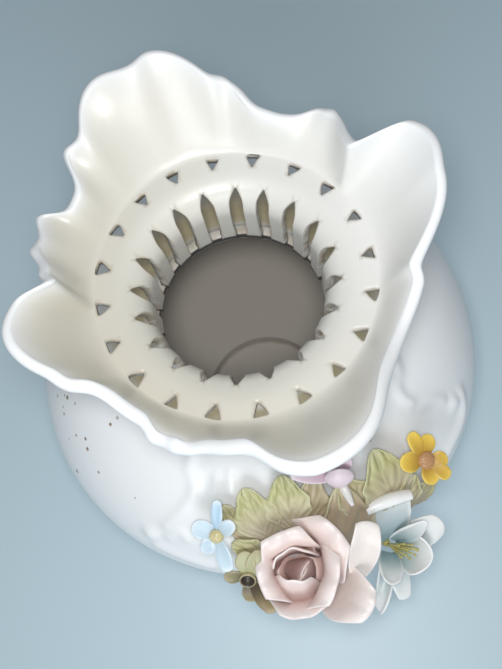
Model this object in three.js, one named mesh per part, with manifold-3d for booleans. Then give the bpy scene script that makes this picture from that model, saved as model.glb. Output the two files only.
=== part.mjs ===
// Glazed porcelain vase: a squat bowl on a foot, a pierced neck that flares into a
// lobed rim, and hand-made flowers and leaves set on its shoulder.
// Millimetres and degrees. The axis is +Z, the table is z = 0, the flowers face -Y.
import * as THREE from 'three';
import { mergeVertices } from 'three/addons/utils/BufferGeometryUtils.js';
import Module from 'manifold-3d';

const wasm = await Module();
wasm.setup();

const seatGap = 0.32;        // between a piece and what it sits on
const sliver = 0.1;          // slivers under this size left by a cut are smoothed away

const bowl = {
  radius: 114.6,             // at the widest ring
  widestHeight: 93,          // of that ring over the table
  rise: 73.6,                // from the ring to the crown of the upper half
  drop: 82,                  // from the ring to the keel of the lower half
  wall: 5,
  mouthRadius: 39.5,
  ledgeWidth: 4.5,           // flat ring round the mouth that carries the neck
  ledgeMargin: 2,            // least reach of that ring beyond the neck's foot
  ledgeHeight: 1.6,          // of that ring over the shoulder
  footRadius: 45,
  footHeight: 10,
  footWaist: 1.6,            // how far the foot is drawn in under the bowl
  floor: 12.5,
  wellRadius: 35.5,          // of the hollow over the foot
  steps: 36,
};

const neck = {
  radius: 38,                // inside
  wall: 4,
  bendRadius: 15,            // inside of the bend from the neck into the rim
  ringHeight: 37.2,          // of the flat ring of holes over the ledge
  bars: 20,
  slotFootWidth: 4.2,
  slotWidth: 6.2,
  slotTopReach: 7,           // how far the slot's tip runs out into the bend
  firstSlot: 3.5,            // angle
  holeRadius: 57.5,          // of the ring of three-sided holes
  holeWidth: 6.4,
  holeLength: 5.8,
  firstHole: 12.5,           // angle
};

const rim = {
  wall: 5,
  baseRadius: 71,            // of the edge between the scallops
  meanRise: 25,              // of the edge over the ring of holes
  lobeRise: 10,              // up at the four lobes, down between them
  lobes: 4,
  firstLobe: 98,             // angle
  lobeReach: 22,             // out at the lobes, scallops left aside
  flareEase: 0.6,            // the larger, the later the flare bends up
  lipRadius: 2.9,            // of the rounded edge
  lipOut: 0.7,               // how far the lip hangs over the edge
  steps: 100,
};

// The rim's scallops: angle of the crest, spread before it, spread after it, reach.
// A reach below zero is a notch.
const scallops = [
  [-173, 23, 29.5, 18.5], [-155, 5.5, 5.5, 2], [-127.5, 6.5, 8, 4],
  [-117.5, 11.5, 13, 5.5], [-104.5, 10, 9, 5], [-86, 10.5, 22.5, -4.5],
  [-84, 21, 41.5, 25.5], [-44.5, 15, 18.5, 2.5], [-23.5, 19.5, 4.5, 4],
  [5, 31, 19.5, 17.5], [20.5, 17.5, 4.5, 17], [25.5, 1.5, 9, -3.5],
  [43, 12.5, 10.5, 9.5], [48, 4.5, 11.5, 4], [75, 10.5, 6.5, 7],
  [95, 26, 16.5, 25.5], [111, 13.5, 22, 28], [128, 7.5, 8.5, 13.5],
  [142.5, 9, 4.5, -9.5], [145, 15, 20, 15.5], [159.5, 7.5, 11, 6.5],
  [174.5, 6, 2.5, -9],
];

const petalThickness = { foot: 2.6, edge: 1.5 };

const rad = THREE.MathUtils.degToRad;
const group = new THREE.Group();

function glaze(color, roughness = 0.2) {
  return new THREE.MeshStandardMaterial({ color, roughness, metalness: 0 });
}

const glazes = {
  white: glaze(0xe9e6e0),
  rosePale: glaze(0xe6d3d2),
  roseDeep: glaze(0xc99a90),
  budPink: glaze(0xe1bdcd),
  lilyWhite: glaze(0xdfe4e2),
  stamen: glaze(0xb9ac3c),
  yellow: glaze(0xdcb428),
  orange: glaze(0xc8825a),
  blue: glaze(0xb4d2e1),
  mustard: glaze(0xc8b96e),
  ochre: glaze(0x8c7846),
  leaf: glaze(0x969b64),
};

function addPiece(name, geometry, material) {
  const mesh = new THREE.Mesh(geometry, material);
  mesh.name = name;
  group.add(mesh);
}

// Solids to and from the boolean library
function toSolid(geometry) {
  const bare = geometry.clone();
  bare.deleteAttribute('normal');
  bare.deleteAttribute('uv');
  const merged = mergeVertices(bare, 1e-4);
  return new wasm.Manifold(new wasm.Mesh({
    numProp: 3,
    vertProperties: Float32Array.from(merged.attributes.position.array),
    triVerts: Uint32Array.from(merged.index.array),
  }));
}

function toGeometry(solid) {
  const mesh = solid.getMesh();
  const geometry = new THREE.BufferGeometry();
  geometry.setAttribute('position', new THREE.BufferAttribute(mesh.vertProperties, 3));
  geometry.setIndex(new THREE.BufferAttribute(mesh.triVerts, 1));
  return geometry;
}

function outwardFacing(geometry) {
  const p = geometry.attributes.position;
  const index = geometry.index.array;
  const [a, b, c] = [new THREE.Vector3(), new THREE.Vector3(), new THREE.Vector3()];
  let volume = 0;
  for (let i = 0; i < index.length; i += 3) {
    a.fromBufferAttribute(p, index[i]);
    b.fromBufferAttribute(p, index[i + 1]);
    c.fromBufferAttribute(p, index[i + 2]);
    volume += a.dot(b.cross(c));
  }
  if (volume < 0) {
    for (let i = 0; i < index.length; i += 3) {
      [index[i], index[i + 1]] = [index[i + 1], index[i]];
    }
  }
  return geometry;
}

function largestPart(solid) {
  const parts = solid.simplify(sliver).decompose();
  return parts.reduce((best, part) => (part.volume() > best.volume() ? part : best));
}

// A closed skin over a grid of points that wraps round in both directions
function wrappedGrid(rows, cols, pointAt) {
  const positions = [];
  const index = [];
  for (let i = 0; i < rows; i++) {
    for (let j = 0; j < cols; j++) {
      positions.push(...pointAt(i, j));
      const a = i * cols + j;
      const b = ((i + 1) % rows) * cols + j;
      const c = ((i + 1) % rows) * cols + (j + 1) % cols;
      const d = i * cols + (j + 1) % cols;
      index.push(a, b, c, a, c, d);
    }
  }
  const geometry = new THREE.BufferGeometry();
  geometry.setAttribute('position', new THREE.Float32BufferAttribute(positions, 3));
  geometry.setIndex(index);
  return outwardFacing(geometry);
}

function revolve(profile, steps) {
  const points = profile.map(([r, z]) => new THREE.Vector2(r, z));
  const geometry = new THREE.LatheGeometry(points, steps);
  geometry.rotateX(Math.PI / 2);
  geometry.deleteAttribute('normal');
  geometry.deleteAttribute('uv');
  return outwardFacing(mergeVertices(geometry, 1e-4));
}

// The bowl
function bowlHeight(r, inset) {
  const share = r / (bowl.radius - inset);
  return Math.sqrt(Math.max(0, 1 - share * share));
}

function bowlRadius(height, inset) {
  const above = height - bowl.widestHeight;
  const reach = (above > 0 ? bowl.rise : bowl.drop) - inset;
  return (bowl.radius - inset) * Math.sqrt(Math.max(0, 1 - (above / reach) ** 2));
}

const shoulderAt = (r, inset = 0) =>
  bowl.widestHeight + (bowl.rise - inset) * bowlHeight(r, inset);
const ledgeRadius = Math.max(bowl.mouthRadius + bowl.ledgeWidth,
  neck.radius + neck.wall + bowl.ledgeMargin);
const ledgeTop = shoulderAt(ledgeRadius) + bowl.ledgeHeight;

function arcOfBowl(fromHeight, toHeight, count, inset = 0) {
  const top = bowl.widestHeight + bowl.rise - inset;
  const keel = bowl.widestHeight - bowl.drop + inset;
  const angleOf = (z) => (z > bowl.widestHeight
    ? Math.asin((z - bowl.widestHeight) / (top - bowl.widestHeight))
    : Math.asin((z - bowl.widestHeight) / (bowl.widestHeight - keel)));
  const [a, b] = [angleOf(fromHeight), angleOf(toHeight)];
  return Array.from({ length: count + 1 }, (_, i) => {
    const angle = a + (b - a) * i / count;
    const reach = angle > 0 ? top - bowl.widestHeight : bowl.widestHeight - keel;
    const z = bowl.widestHeight + reach * Math.sin(angle);
    return [bowlRadius(z, inset), z];
  });
}

const outerArc = arcOfBowl(bowl.footHeight + 8, shoulderAt(ledgeRadius + 2), 11);

function bowlBody() {
  const wellTop = bowl.widestHeight
    - (bowl.drop - bowl.wall) * bowlHeight(bowl.wellRadius, bowl.wall);
  const lipBottom = shoulderAt(bowl.mouthRadius + 1, bowl.wall);
  const profile = [
    [0, 0],
    [bowl.footRadius - 1, 0],
    [bowl.footRadius, 1],
    [bowl.footRadius - bowl.footWaist / 2, bowl.footHeight],
    [bowl.footRadius - bowl.footWaist, bowl.footHeight + 4],
    ...outerArc,
    [ledgeRadius, ledgeTop],
    [bowl.mouthRadius + 1, ledgeTop],
    [bowl.mouthRadius, ledgeTop - 1],
    [bowl.mouthRadius, lipBottom + 1],
    ...arcOfBowl(lipBottom, wellTop, 7, bowl.wall),
    [bowl.wellRadius, bowl.floor + 2],
    [bowl.wellRadius - 2, bowl.floor],
    [0, bowl.floor],
  ];
  return revolve(profile, bowl.steps);
}

// The neck and rim, one casting
const neckFoot = ledgeTop + seatGap;
const ringZ = ledgeTop + neck.ringHeight;
const flatEnd = neck.holeRadius + neck.holeLength / 2;

function rimRadius(angle) {
  let radius = rim.baseRadius;
  for (const [at, before, after, reach] of scallops) {
    const off = THREE.MathUtils.euclideanModulo(angle - at + 180, 360) - 180;
    const share = Math.abs(off) / (off < 0 ? before : after);
    if (share < 1) radius += reach * Math.cos(share * Math.PI / 2) ** 2;
  }
  return radius;
}

function rimHeight(angle) {
  const wave = Math.cos(rad(rim.lobes * (angle - rim.firstLobe)));
  return ringZ + rim.meanRise + rim.lobeRise * wave;
}

// How far the flare has climbed at a radius: level at first, steepest halfway
function climbed(r, angle) {
  const wave = Math.cos(rad(rim.lobes * (angle - rim.firstLobe)));
  const edge = rim.baseRadius + rim.lobeReach * (1 + wave) / 2;
  const share = ((r - flatEnd) / (edge - flatEnd)) ** 2;
  return share / (share + rim.flareEase);
}

// The inside line of the wall at one angle, from the neck's foot to the rim's edge
function insideLine(angle) {
  const bendCentre = [neck.radius + neck.bendRadius, ringZ - neck.bendRadius];
  const line = [[neck.radius - 0.4, neckFoot], [neck.radius, bendCentre[1]]];
  for (const turn of [30, 60, 90]) {
    line.push([
      bendCentre[0] - neck.bendRadius * Math.cos(rad(turn)),
      bendCentre[1] + neck.bendRadius * Math.sin(rad(turn)),
    ]);
  }
  const edge = rimRadius(angle) + rim.lipOut - rim.lipRadius;
  const rise = (rimHeight(angle) - ringZ) / climbed(edge, angle);
  line.push([flatEnd, ringZ]);
  for (const share of [1 / 3, 2 / 3, 1]) {
    const r = flatEnd + (edge - flatEnd) * share;
    line.push([r, ringZ + rise * climbed(r, angle)]);
  }
  return line;
}

// The closed section of the wall: inside line, rounded lip, then back underneath
function wallSection(angle) {
  const inside = insideLine(angle);
  const count = inside.length;
  const outside = inside.map(([r, z], i) => {
    const [r0, z0] = inside[Math.max(0, i - 1)];
    const [r1, z1] = inside[Math.min(count - 1, i + 1)];
    const length = Math.hypot(r1 - r0, z1 - z0);
    const wall = neck.wall + (rim.wall - neck.wall) * Math.max(0, (i - 5) / (count - 6));
    return [r + wall * (z1 - z0) / length, z - wall * (r1 - r0) / length];
  });
  outside[0][1] = neckFoot;
  // The lip is a bead round the middle of the wall's end
  const [[inR, inZ], [outR, outZ]] = [inside[count - 1], outside[count - 1]];
  const upright = Math.atan2(inZ - outZ, inR - outR);
  const lip = [60, 0, -60].map((turn) => [
    (inR + outR) / 2 + rim.lipRadius * Math.cos(upright - Math.PI / 2 + rad(turn)),
    (inZ + outZ) / 2 + rim.lipRadius * Math.sin(upright - Math.PI / 2 + rad(turn)),
  ]);
  return [...inside, ...lip, ...outside.reverse()];
}

function flaredWall() {
  const sections = Array.from({ length: rim.steps }, (_, i) =>
    wallSection(i * 360 / rim.steps));
  return wrappedGrid(rim.steps, sections[0].length, (i, j) => {
    const turn = rad(i * 360 / rim.steps);
    const [r, z] = sections[i][j];
    return [r * Math.cos(turn), r * Math.sin(turn), z];
  });
}

function extruded(outline, depth) {
  const shape = new THREE.Shape(outline.map(([x, y]) => new THREE.Vector2(x, y)));
  return new THREE.ExtrudeGeometry(shape, { depth, bevelEnabled: false, steps: 1 });
}

// A slot: straight-sided, with a short pointed arch at the top
function slotCutter(angle) {
  const tipZ = ringZ - neck.bendRadius
    + Math.sqrt(neck.bendRadius ** 2 - (neck.bendRadius - neck.slotTopReach) ** 2);
  const height = tipZ - neckFoot;
  const [foot, half] = [neck.slotFootWidth / 2, neck.slotWidth / 2];
  const side = [[foot, -1], [half, height * 0.3], [half, height * 0.84],
    [half * 0.62, height * 0.94]];
  const outline = [...side, [0, height], ...side.map(([x, y]) => [-x, y]).reverse()];
  const cutter = extruded(outline, neck.wall + neck.slotTopReach + 8);
  cutter.rotateX(Math.PI / 2).rotateZ(Math.PI / 2);
  cutter.translate(neck.radius - 6, 0, neckFoot).rotateZ(rad(angle));
  return toSolid(cutter);
}

// A three-sided hole with its point towards the neck
function holeCutter(angle) {
  const [half, length] = [neck.holeWidth / 2, neck.holeLength];
  const outline = [[-length / 2, 0], [length / 2 - 0.5, -half], [length / 2 + 0.5, 0],
    [length / 2 - 0.5, half]];
  const cutter = extruded(outline, 3 * rim.wall);
  cutter.translate(neck.holeRadius, 0, ringZ - 1.5 * rim.wall).rotateZ(rad(angle));
  return toSolid(cutter);
}

function piercedRim() {
  let wall = toSolid(flaredWall());
  const pitch = 360 / neck.bars;
  for (let i = 0; i < neck.bars; i++) {
    wall = wall.subtract(slotCutter(neck.firstSlot + i * pitch));
    wall = wall.subtract(holeCutter(neck.firstHole + i * pitch));
  }
  return largestPart(wall);
}

// A place on the shoulder: the bowl's surface where its normal climbs by slope
function onBowl(azimuth, slope) {
  const [c, s] = [Math.cos(rad(slope)), Math.sin(rad(slope))];
  const size = Math.hypot(bowl.radius * c, bowl.rise * s);
  const r = bowl.radius ** 2 * c / size;
  const z = bowl.widestHeight + bowl.rise ** 2 * s / size;
  return new THREE.Vector3(r * Math.cos(rad(azimuth)), r * Math.sin(rad(azimuth)), z);
}

function direction(azimuth, climb) {
  const flat = Math.cos(rad(climb));
  return new THREE.Vector3(
    flat * Math.cos(rad(azimuth)), flat * Math.sin(rad(azimuth)), Math.sin(rad(climb)));
}

// A flower's own frame: Z is where it faces, X runs level round the vase, Y up the vase
function flowerFrame({ azimuth, slope, lift = 0, climb = slope }) {
  const z = direction(azimuth, climb);
  const x = new THREE.Vector3(-Math.sin(rad(azimuth)), Math.cos(rad(azimuth)), 0);
  const y = new THREE.Vector3().crossVectors(z, x);
  const frame = new THREE.Matrix4().makeBasis(x, y, z);
  return frame.setPosition(onBowl(azimuth, slope).addScaledVector(z, lift));
}

// A petal or leaf: a thin curved sheet. It leaves its foot at the angle lean over the
// flower's plane, bends down by droop along its length and by roll near its tip.
const plainPetal = {
  turn: 0, ring: 3, lift: 0, length: 20, foot: 6, belly: 14, tip: 8, round: 0.45,
  lean: 50, droop: 30, roll: 0, cup: 30, cupTip: 10, wave: 0, waves: 2, phase: 0,
  twist: 0, thick: 1, rows: 4, cols: 3, draped: false,
};

function halfWidth(petal, u) {
  const past = u - 0.6;
  return 0.5 * (petal.foot * past * (u - 1) / 0.6
    + petal.belly * u * (u - 1) / -0.24 + petal.tip * u * past / 0.4);
}

function sheetPoint(petal, u, v) {
  const half = halfWidth(petal, u);
  const reach = petal.length * u - petal.round * half * (v * u) ** 2;
  const parts = 8;
  let [along, up] = [0, 0];
  let angle = petal.lean;
  for (let k = 0; k < parts; k++) {
    const s = (k + 0.5) / parts * u;
    angle = petal.lean - petal.droop * s - petal.roll * Math.max(0, (s - 0.6) / 0.4) ** 2;
    along += Math.cos(rad(angle)) * reach / parts;
    up += Math.sin(rad(angle)) * reach / parts;
  }
  const tightest = 1.3 * petal.thick * petalThickness.foot;
  const cup = 1e-3 + Math.min(
    rad(petal.cup * (1 - u) + petal.cupTip * u), half / tightest);
  const across = half / cup * Math.sin(cup * v);
  const inward = half / cup * (1 - Math.cos(cup * v))
    + petal.wave * half * Math.sin(petal.waves * Math.PI * v + petal.phase) * u * u;
  const spin = rad(petal.twist * u);
  const side = across * Math.cos(spin) - inward * Math.sin(spin);
  const normal = across * Math.sin(spin) + inward * Math.cos(spin);
  return new THREE.Vector3(
    petal.ring + along - normal * Math.sin(rad(angle)), side,
    petal.lift + up + normal * Math.cos(rad(angle)));
}

// Lays a point of a leaf on the bowl, where its height is its height over the bowl
function drape(point, frame) {
  const height = point.z;
  const centre = new THREE.Vector3(0, 0, bowl.widestHeight);
  point.setZ(0).applyMatrix4(frame).sub(centre);
  const reach = point.z > 0 ? bowl.rise : bowl.drop;
  const { radius } = bowl;
  point.divideScalar(Math.hypot(point.x / radius, point.y / radius, point.z / reach));
  const normal = new THREE.Vector3(
    point.x / radius ** 2, point.y / radius ** 2, point.z / reach ** 2).normalize();
  point.add(centre).addScaledVector(normal, height);
}

function sheetSolid(petal, frame) {
  const { rows, cols } = petal;
  const step = 0.02;
  const turned = frame.clone().multiply(new THREE.Matrix4().makeRotationZ(rad(petal.turn)));
  const points = [];
  for (const face of [1, -1]) {
    for (let i = 0; i <= rows; i++) {
      for (let j = 0; j <= cols; j++) {
        const [u, v] = [i / rows, 2 * j / cols - 1];
        const at = sheetPoint(petal, u, v);
        const du = sheetPoint(petal, u + step, v).sub(sheetPoint(petal, u - step, v));
        const dv = sheetPoint(petal, u, v + step).sub(sheetPoint(petal, u, v - step));
        const normal = du.clone().cross(dv).normalize();
        const middle = Math.max(0, 1 - Math.max(u, Math.abs(v)) ** 3);
        const thick = petal.thick
          * (petalThickness.edge + (petalThickness.foot - petalThickness.edge) * middle);
        at.addScaledVector(normal, face * thick / 2);
        if (petal.draped) drape(at, turned);
        else at.applyMatrix4(turned);
        points.push(at.x, at.y, at.z);
      }
    }
  }
  const [width, layer] = [cols + 1, (rows + 1) * (cols + 1)];
  const index = [];
  for (let i = 0; i < rows; i++) {
    for (let j = 0; j < cols; j++) {
      const a = i * width + j;
      index.push(a, a + 1, a + width + 1, a, a + width + 1, a + width);
      const b = a + layer;
      index.push(b, b + width + 1, b + 1, b, b + width, b + width + 1);
    }
  }
  const edge = [];
  for (let j = 0; j < cols; j++) edge.push(j);
  for (let i = 0; i < rows; i++) edge.push(i * width + cols);
  for (let j = cols; j > 0; j--) edge.push(rows * width + j);
  for (let i = rows; i > 0; i--) edge.push(i * width);
  edge.forEach((a, k) => {
    const b = edge[(k + 1) % edge.length];
    index.push(b, a, a + layer, b, a + layer, b + layer);
  });
  const geometry = new THREE.BufferGeometry();
  geometry.setAttribute('position', new THREE.Float32BufferAttribute(points, 3));
  geometry.setIndex(index);
  return toSolid(outwardFacing(geometry));
}

// A turned piece, such as a flower's centre on its stalk, in a flower's frame
function turnedSolid(profile, frame, steps = 10) {
  return toSolid(revolve(profile, steps).applyMatrix4(frame));
}

// Pieces are fitted in the order they are made: each is cut back by those before it
const fitted = [];

function touches(a, b) {
  const [p, q] = [a.boundingBox(), b.boundingBox()];
  return [0, 1, 2].every((k) => p.min[k] < q.max[k] && q.min[k] < p.max[k]);
}

// A piece takes up its own shape and the gap all round it
function keepRoomFor(solid) {
  const gap = wasm.Manifold.cube([2 * seatGap, 2 * seatGap, 2 * seatGap], true);
  fitted.push(solid.minkowskiSum(gap));
}

function fit(name, whole, material) {
  const others = fitted.filter((room) => touches(whole, room));
  const solid = others.reduce((kept, room) => kept.subtract(room), whole);
  keepRoomFor(whole);
  addPiece(name, toGeometry(largestPart(solid)), material);
}

function fitPetal(name, frame, petal, material) {
  const full = { ...plainPetal, ...petal };
  fit(name, sheetSolid(full, frame), material);
}

function fitTurned(name, frame, profile, material) {
  fit(name, turnedSolid(profile, frame), material);
}

// The rose: its heart is a hollow cup on the pad of clay that carries the petals
function makeRose() {
  const frame = flowerFrame({ azimuth: -95.2, slope: 10, climb: 86, lift: 14 });
  fitTurned('rose_heart', frame, [[0, -17], [7, -17], [16, -5], [17, -1], [9.4, 1],
    [8.6, 10], [7, 10.4], [6.2, 6], [0, 4.5]], glazes.roseDeep);
  const petals = {
    rose_petal_inner_back: { turn: 100, ring: 9, length: 29, foot: 16, belly: 30,
      tip: 20, lean: 92, droop: 6, cup: 62, cupTip: 58 },
    rose_petal_inner_low: { turn: -104, ring: 17, length: 31, foot: 14, belly: 25,
      tip: 10, lean: 103, droop: -18, cup: 60, cupTip: 56 },
    rose_petal_inner_right: { turn: -25, ring: 14, length: 37, foot: 15, belly: 34,
      tip: 22, lean: 94, droop: 4, roll: 100, cup: 50, cupTip: 34 },
    rose_petal_left: { turn: 188, ring: 11, length: 34, foot: 15, belly: 28, tip: 15,
      lean: 94, droop: 6, roll: 110, cup: 50, cupTip: 34 },
    rose_petal_back: { turn: 101, ring: 10, length: 37, foot: 15, belly: 31, tip: 19,
      lean: 90, droop: 2, roll: 120, cup: 45, cupTip: 30 },
    rose_petal_low: { turn: -90, ring: 11, length: 30, foot: 16, belly: 32, tip: 22,
      lean: 82, droop: 8, roll: 60, cup: 46, cupTip: 34 },
    rose_petal_back_right: { turn: 33, ring: 14, length: 39, foot: 16, belly: 38,
      tip: 18, lean: 86, droop: 10, roll: 100, cup: 40, cupTip: 16 },
    rose_petal_low_right: { turn: -36, ring: 17, lift: -2, length: 34, foot: 14,
      belly: 26, tip: 15, lean: 68, droop: 22, roll: 60, cup: 36, cupTip: 16 },
  };
  for (const [name, petal] of Object.entries(petals)) {
    fitPetal(name, frame, petal, glazes.rosePale);
  }
  const aside = flowerFrame({ azimuth: -82.3, slope: 12, climb: 66, lift: 24 });
  fitPetal('rose_petal_right', aside, { turn: 52, ring: -2, length: 30, foot: 8,
    belly: 13, tip: 8, lean: 34, droop: 10, roll: 20, cup: 55, cupTip: 60 },
  glazes.rosePale);
}

// The white lily with its curled petals
function makeLily() {
  const frame = flowerFrame({ azimuth: -72.7, slope: -2.7, climb: 62, lift: 14 });
  fitStamens(frame);
  const petals = {
    lily_petal_top: { turn: 66, ring: 4, lift: -4, length: 39, foot: 9, belly: 18,
      tip: 19, round: 0.2, lean: 22, droop: -6, roll: -150, cup: 40, cupTip: 12 },
    lily_petal_top_right: { turn: 0, ring: 4, lift: -3, length: 25.5, foot: 7, belly: 16,
      tip: 11, lean: 34, droop: 10, roll: 30, cupTip: -6 },
    lily_petal_middle: { turn: 33, ring: 4, lift: -2, length: 29, foot: 6, belly: 11,
      tip: 3, lean: 58, droop: 8, cup: 40, cupTip: 30 },
    lily_petal_right: { turn: -38, ring: 3, lift: -4, length: 21, foot: 10, belly: 24,
      tip: 20, lean: 34, droop: -30, cup: 50, cupTip: 56 },
    lily_petal_low_right: { turn: -105, ring: 4, lift: -5, length: 25, foot: 7,
      belly: 10, tip: 6, lean: 18, droop: 20, roll: 30 },
    lily_petal_low: { turn: -134, ring: 3, lift: -3, length: 17.5, foot: 8, belly: 13,
      tip: 9, lean: 52, droop: 20, roll: -40, cup: 20, cupTip: 40 },
    lily_petal_low_left: { turn: -134, ring: 5, lift: -5, length: 29, foot: 6, belly: 9,
      tip: 7, lean: 40, droop: 40, roll: 60, cup: 50, cupTip: 60, twist: 60 },
  };
  for (const [name, petal] of Object.entries(petals)) {
    fitPetal(name, frame, petal, glazes.lilyWhite);
  }
}

function fitStamens(frame) {
  const filaments = [[10, 13], [-18, 12], [40, 11], [-48, 10], [80, 9]];
  const lean = new THREE.Matrix4().makeRotationY(rad(52));
  const base = [[0, -16], [3, -16], [4, 0], [3, 3], [0, 4]];
  let cluster = turnedSolid(base, frame);
  for (const [turn, length] of filaments) {
    const rod = new THREE.CylinderGeometry(0.7, 0.8, length, 5);
    rod.translate(0, length / 2, 0).rotateX(Math.PI / 2).applyMatrix4(lean);
    rod.rotateZ(rad(turn)).applyMatrix4(frame);
    cluster = cluster.add(toSolid(rod));
  }
  fit('lily_stamens', cluster, glazes.stamen);
}

// A small flower: a button on a stalk with petals round it
function makeSmallFlower(name, place, button, petals, material, middle) {
  const frame = flowerFrame(place);
  const depth = place.lift + 4;
  fitTurned(`${name}_centre`, frame, [[0, -depth], [button * 0.6, -depth],
    [button * 0.7, -1], [button, 1], [button * 0.8, 3], [0, 4]], middle);
  petals.forEach(([turn, length, width, lean], i) => {
    fitPetal(`${name}_petal_${i + 1}`, frame, { turn, ring: button * 0.6, length,
      foot: width * 0.45, belly: width, tip: width * 0.7, lean, droop: 20,
      cupTip: 25, rows: 3 }, material);
  });
}

function makePinkBud() {
  const frame = flowerFrame({ azimuth: -76.8, slope: 55.7, climb: 74, lift: 6 });
  fitTurned('bud_heart', frame, [[0, -11], [3.4, -11], [4, -3], [3.8, 2], [2.4, 5],
    [0, 6]], glazes.budPink);
  const petals = {
    bud_petal_top: { turn: 72, length: 12, foot: 9, belly: 14, tip: 11, lean: 70,
      droop: 30, roll: 60, cup: 40 },
    bud_petal_left: { turn: 148, ring: 2, length: 20, foot: 5, belly: 8, tip: 5,
      lean: 14, droop: 10, cup: 25 },
    bud_petal_front: { turn: 195, ring: 2, length: 9, foot: 6, belly: 9, tip: 6,
      lean: 44, droop: 20, cup: 35, cupTip: 20 },
    bud_sepal: { turn: -93, length: 10, foot: 4, belly: 5, tip: 3, lean: 20,
      droop: 40, cup: 15 },
  };
  for (const [name, petal] of Object.entries(petals)) {
    fitPetal(name, frame, petal, glazes.budPink);
  }
}

// Leaves lie on the shoulder: where, which way, how long and how broad
const leaves = {
  leaf_middle_right: [-87.3, 52.8, 68, 21.5, 13],
  leaf_middle: [-93.7, 54.6, 89, 26, 15],
  leaf_left_tall: [-103.1, 52.5, 107, 26, 17],
  leaf_curled: [-73.5, 49.5, 111, 12, 9],
  leaf_right_tall: [-64.3, 47.3, 77, 32, 22],
  leaf_broad: [-80.3, 41.4, 79, 38, 20],
  leaf_right: [-62.4, 33.6, 50, 15, 10],
  leaf_far_right: [-58.9, 24.7, -10, 14, 11],
  leaf_left: [-105.2, 39.9, 148, 16, 12],
  leaf_narrow: [-107.3, 48.3, 125, 27, 9],
};

// Of a leaf's middle over its lowest side
const leafRise = 1.6;

function makeLeaves() {
  for (const [name, [azimuth, slope, turn, length, width]] of Object.entries(leaves)) {
    const frame = flowerFrame({ azimuth, slope });
    fitPetal(name, frame, { turn, ring: -length / 2, lift: seatGap + leafRise, length,
      foot: width * 0.35, belly: width, tip: 4, lean: 3, droop: -8, cup: 10, cupTip: 10,
      wave: 0.05, waves: 1.5, phase: turn, draped: true }, glazes.leaf);
  }
}

const bowlOutside = [[0, outerArc[0][1]], ...outerArc, [0, outerArc.at(-1)[1]]];
keepRoomFor(toSolid(revolve(bowlOutside, bowl.steps)));
addPiece('body_bowl', bowlBody(), glazes.white);
addPiece('pierced_rim', toGeometry(piercedRim()), glazes.white);
makeRose();
makeLily();
makeSmallFlower('yellow_daisy', { azimuth: -55.5, slope: 43, climb: 64, lift: 14 }, 4.4,
  [[78, 14, 6, 28], [43, 10, 7, 28], [-49, 8, 7.5, 28], [-84, 11, 5.5, 28],
    [-125, 9, 7.5, 28], [134, 12, 8.5, 28]], glazes.yellow, glazes.orange);
makeSmallFlower('blue_flower', { azimuth: -113.3, slope: 46, climb: 66, lift: 12 }, 3.4,
  [[92, 16, 5.5, 26], [158, 10.5, 9.5, 26], [47, 10, 7.5, 34], [-124, 8, 7.5, 26],
    [-64, 15, 7.5, 20]], glazes.blue, glazes.mustard);
makeSmallFlower('ochre_flower', { azimuth: -106.3, slope: 28.3, climb: 44, lift: 11 }, 4.2,
  [[165, 9, 8, 24], [-84, 10.5, 8, 24], [-50, 18, 9, 34], [94, 12, 10, 4],
    [64, 14, 10, 4], [-26, 10, 9, 20]], glazes.ochre, glazes.ochre);
makePinkBud();
makeLeaves();

export default group;
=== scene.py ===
import math

import bmesh
import bpy
import numpy as np
from mathutils import Matrix, Vector


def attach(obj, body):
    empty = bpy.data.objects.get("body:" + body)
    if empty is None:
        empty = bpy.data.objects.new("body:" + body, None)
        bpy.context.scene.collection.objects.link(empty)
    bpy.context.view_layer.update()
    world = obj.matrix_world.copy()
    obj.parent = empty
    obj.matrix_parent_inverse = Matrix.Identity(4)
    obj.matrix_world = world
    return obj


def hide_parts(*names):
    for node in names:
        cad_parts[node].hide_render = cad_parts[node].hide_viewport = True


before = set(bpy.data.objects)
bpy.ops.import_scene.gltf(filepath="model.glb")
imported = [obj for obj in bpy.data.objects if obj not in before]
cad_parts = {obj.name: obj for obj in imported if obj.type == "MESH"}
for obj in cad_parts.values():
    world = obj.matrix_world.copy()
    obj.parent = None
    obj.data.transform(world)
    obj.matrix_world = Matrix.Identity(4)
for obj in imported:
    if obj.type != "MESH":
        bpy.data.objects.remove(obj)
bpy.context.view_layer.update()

mm = 0.001  # sizes below are in millimetres unless a note says otherwise


def addObject(name, data):
    obj = bpy.data.objects.new(name, data)
    bpy.context.scene.collection.objects.link(obj)
    return obj


camera = {
    "place": (0.0002, -0.1482, 0.5410),  # metres
    "ahead": (0, 0.33854, -0.94095),
    "right": (0.95903, -0.26658, -0.09591),
    "lens": 47.35,
    "longSide": 36,
    "nearest": 0.01,  # metres
}


def addCamera():
    data = bpy.data.cameras.new("camera")
    data.sensor_width = camera["longSide"]
    data.lens = camera["lens"]
    data.clip_start = camera["nearest"]
    ahead, right = Vector(camera["ahead"]), Vector(camera["right"])
    turned = Matrix((right, right.cross(ahead), -ahead)).transposed().to_4x4()
    obj = addObject("camera", data)
    obj.matrix_world = Matrix.Translation(camera["place"]) @ turned
    bpy.context.scene.camera = obj


studio = {
    "floorSize": 6.0,  # metres
    "floorColour": (0.55, 0.68, 0.74, 1),
    "floorRoughness": 0.42,
    "worldColour": (0.85, 0.93, 1.0, 1),
    "worldStrength": 0.30,
    # place in metres, place aimed at, size in metres, watts, colour
    "lamps": {
        "softLamp": (
            (-0.0041, -0.1453, 0.5739), (0.004, 0.040, 0.060), 0.07, 1.18, (1.0, 0.99, 0.97)),
        "window": ((-0.25, -1.0, 0.60), (0, 0, 0.08), 0.6, 5.4, (0.93, 0.97, 1.0)),
    },
}


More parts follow.
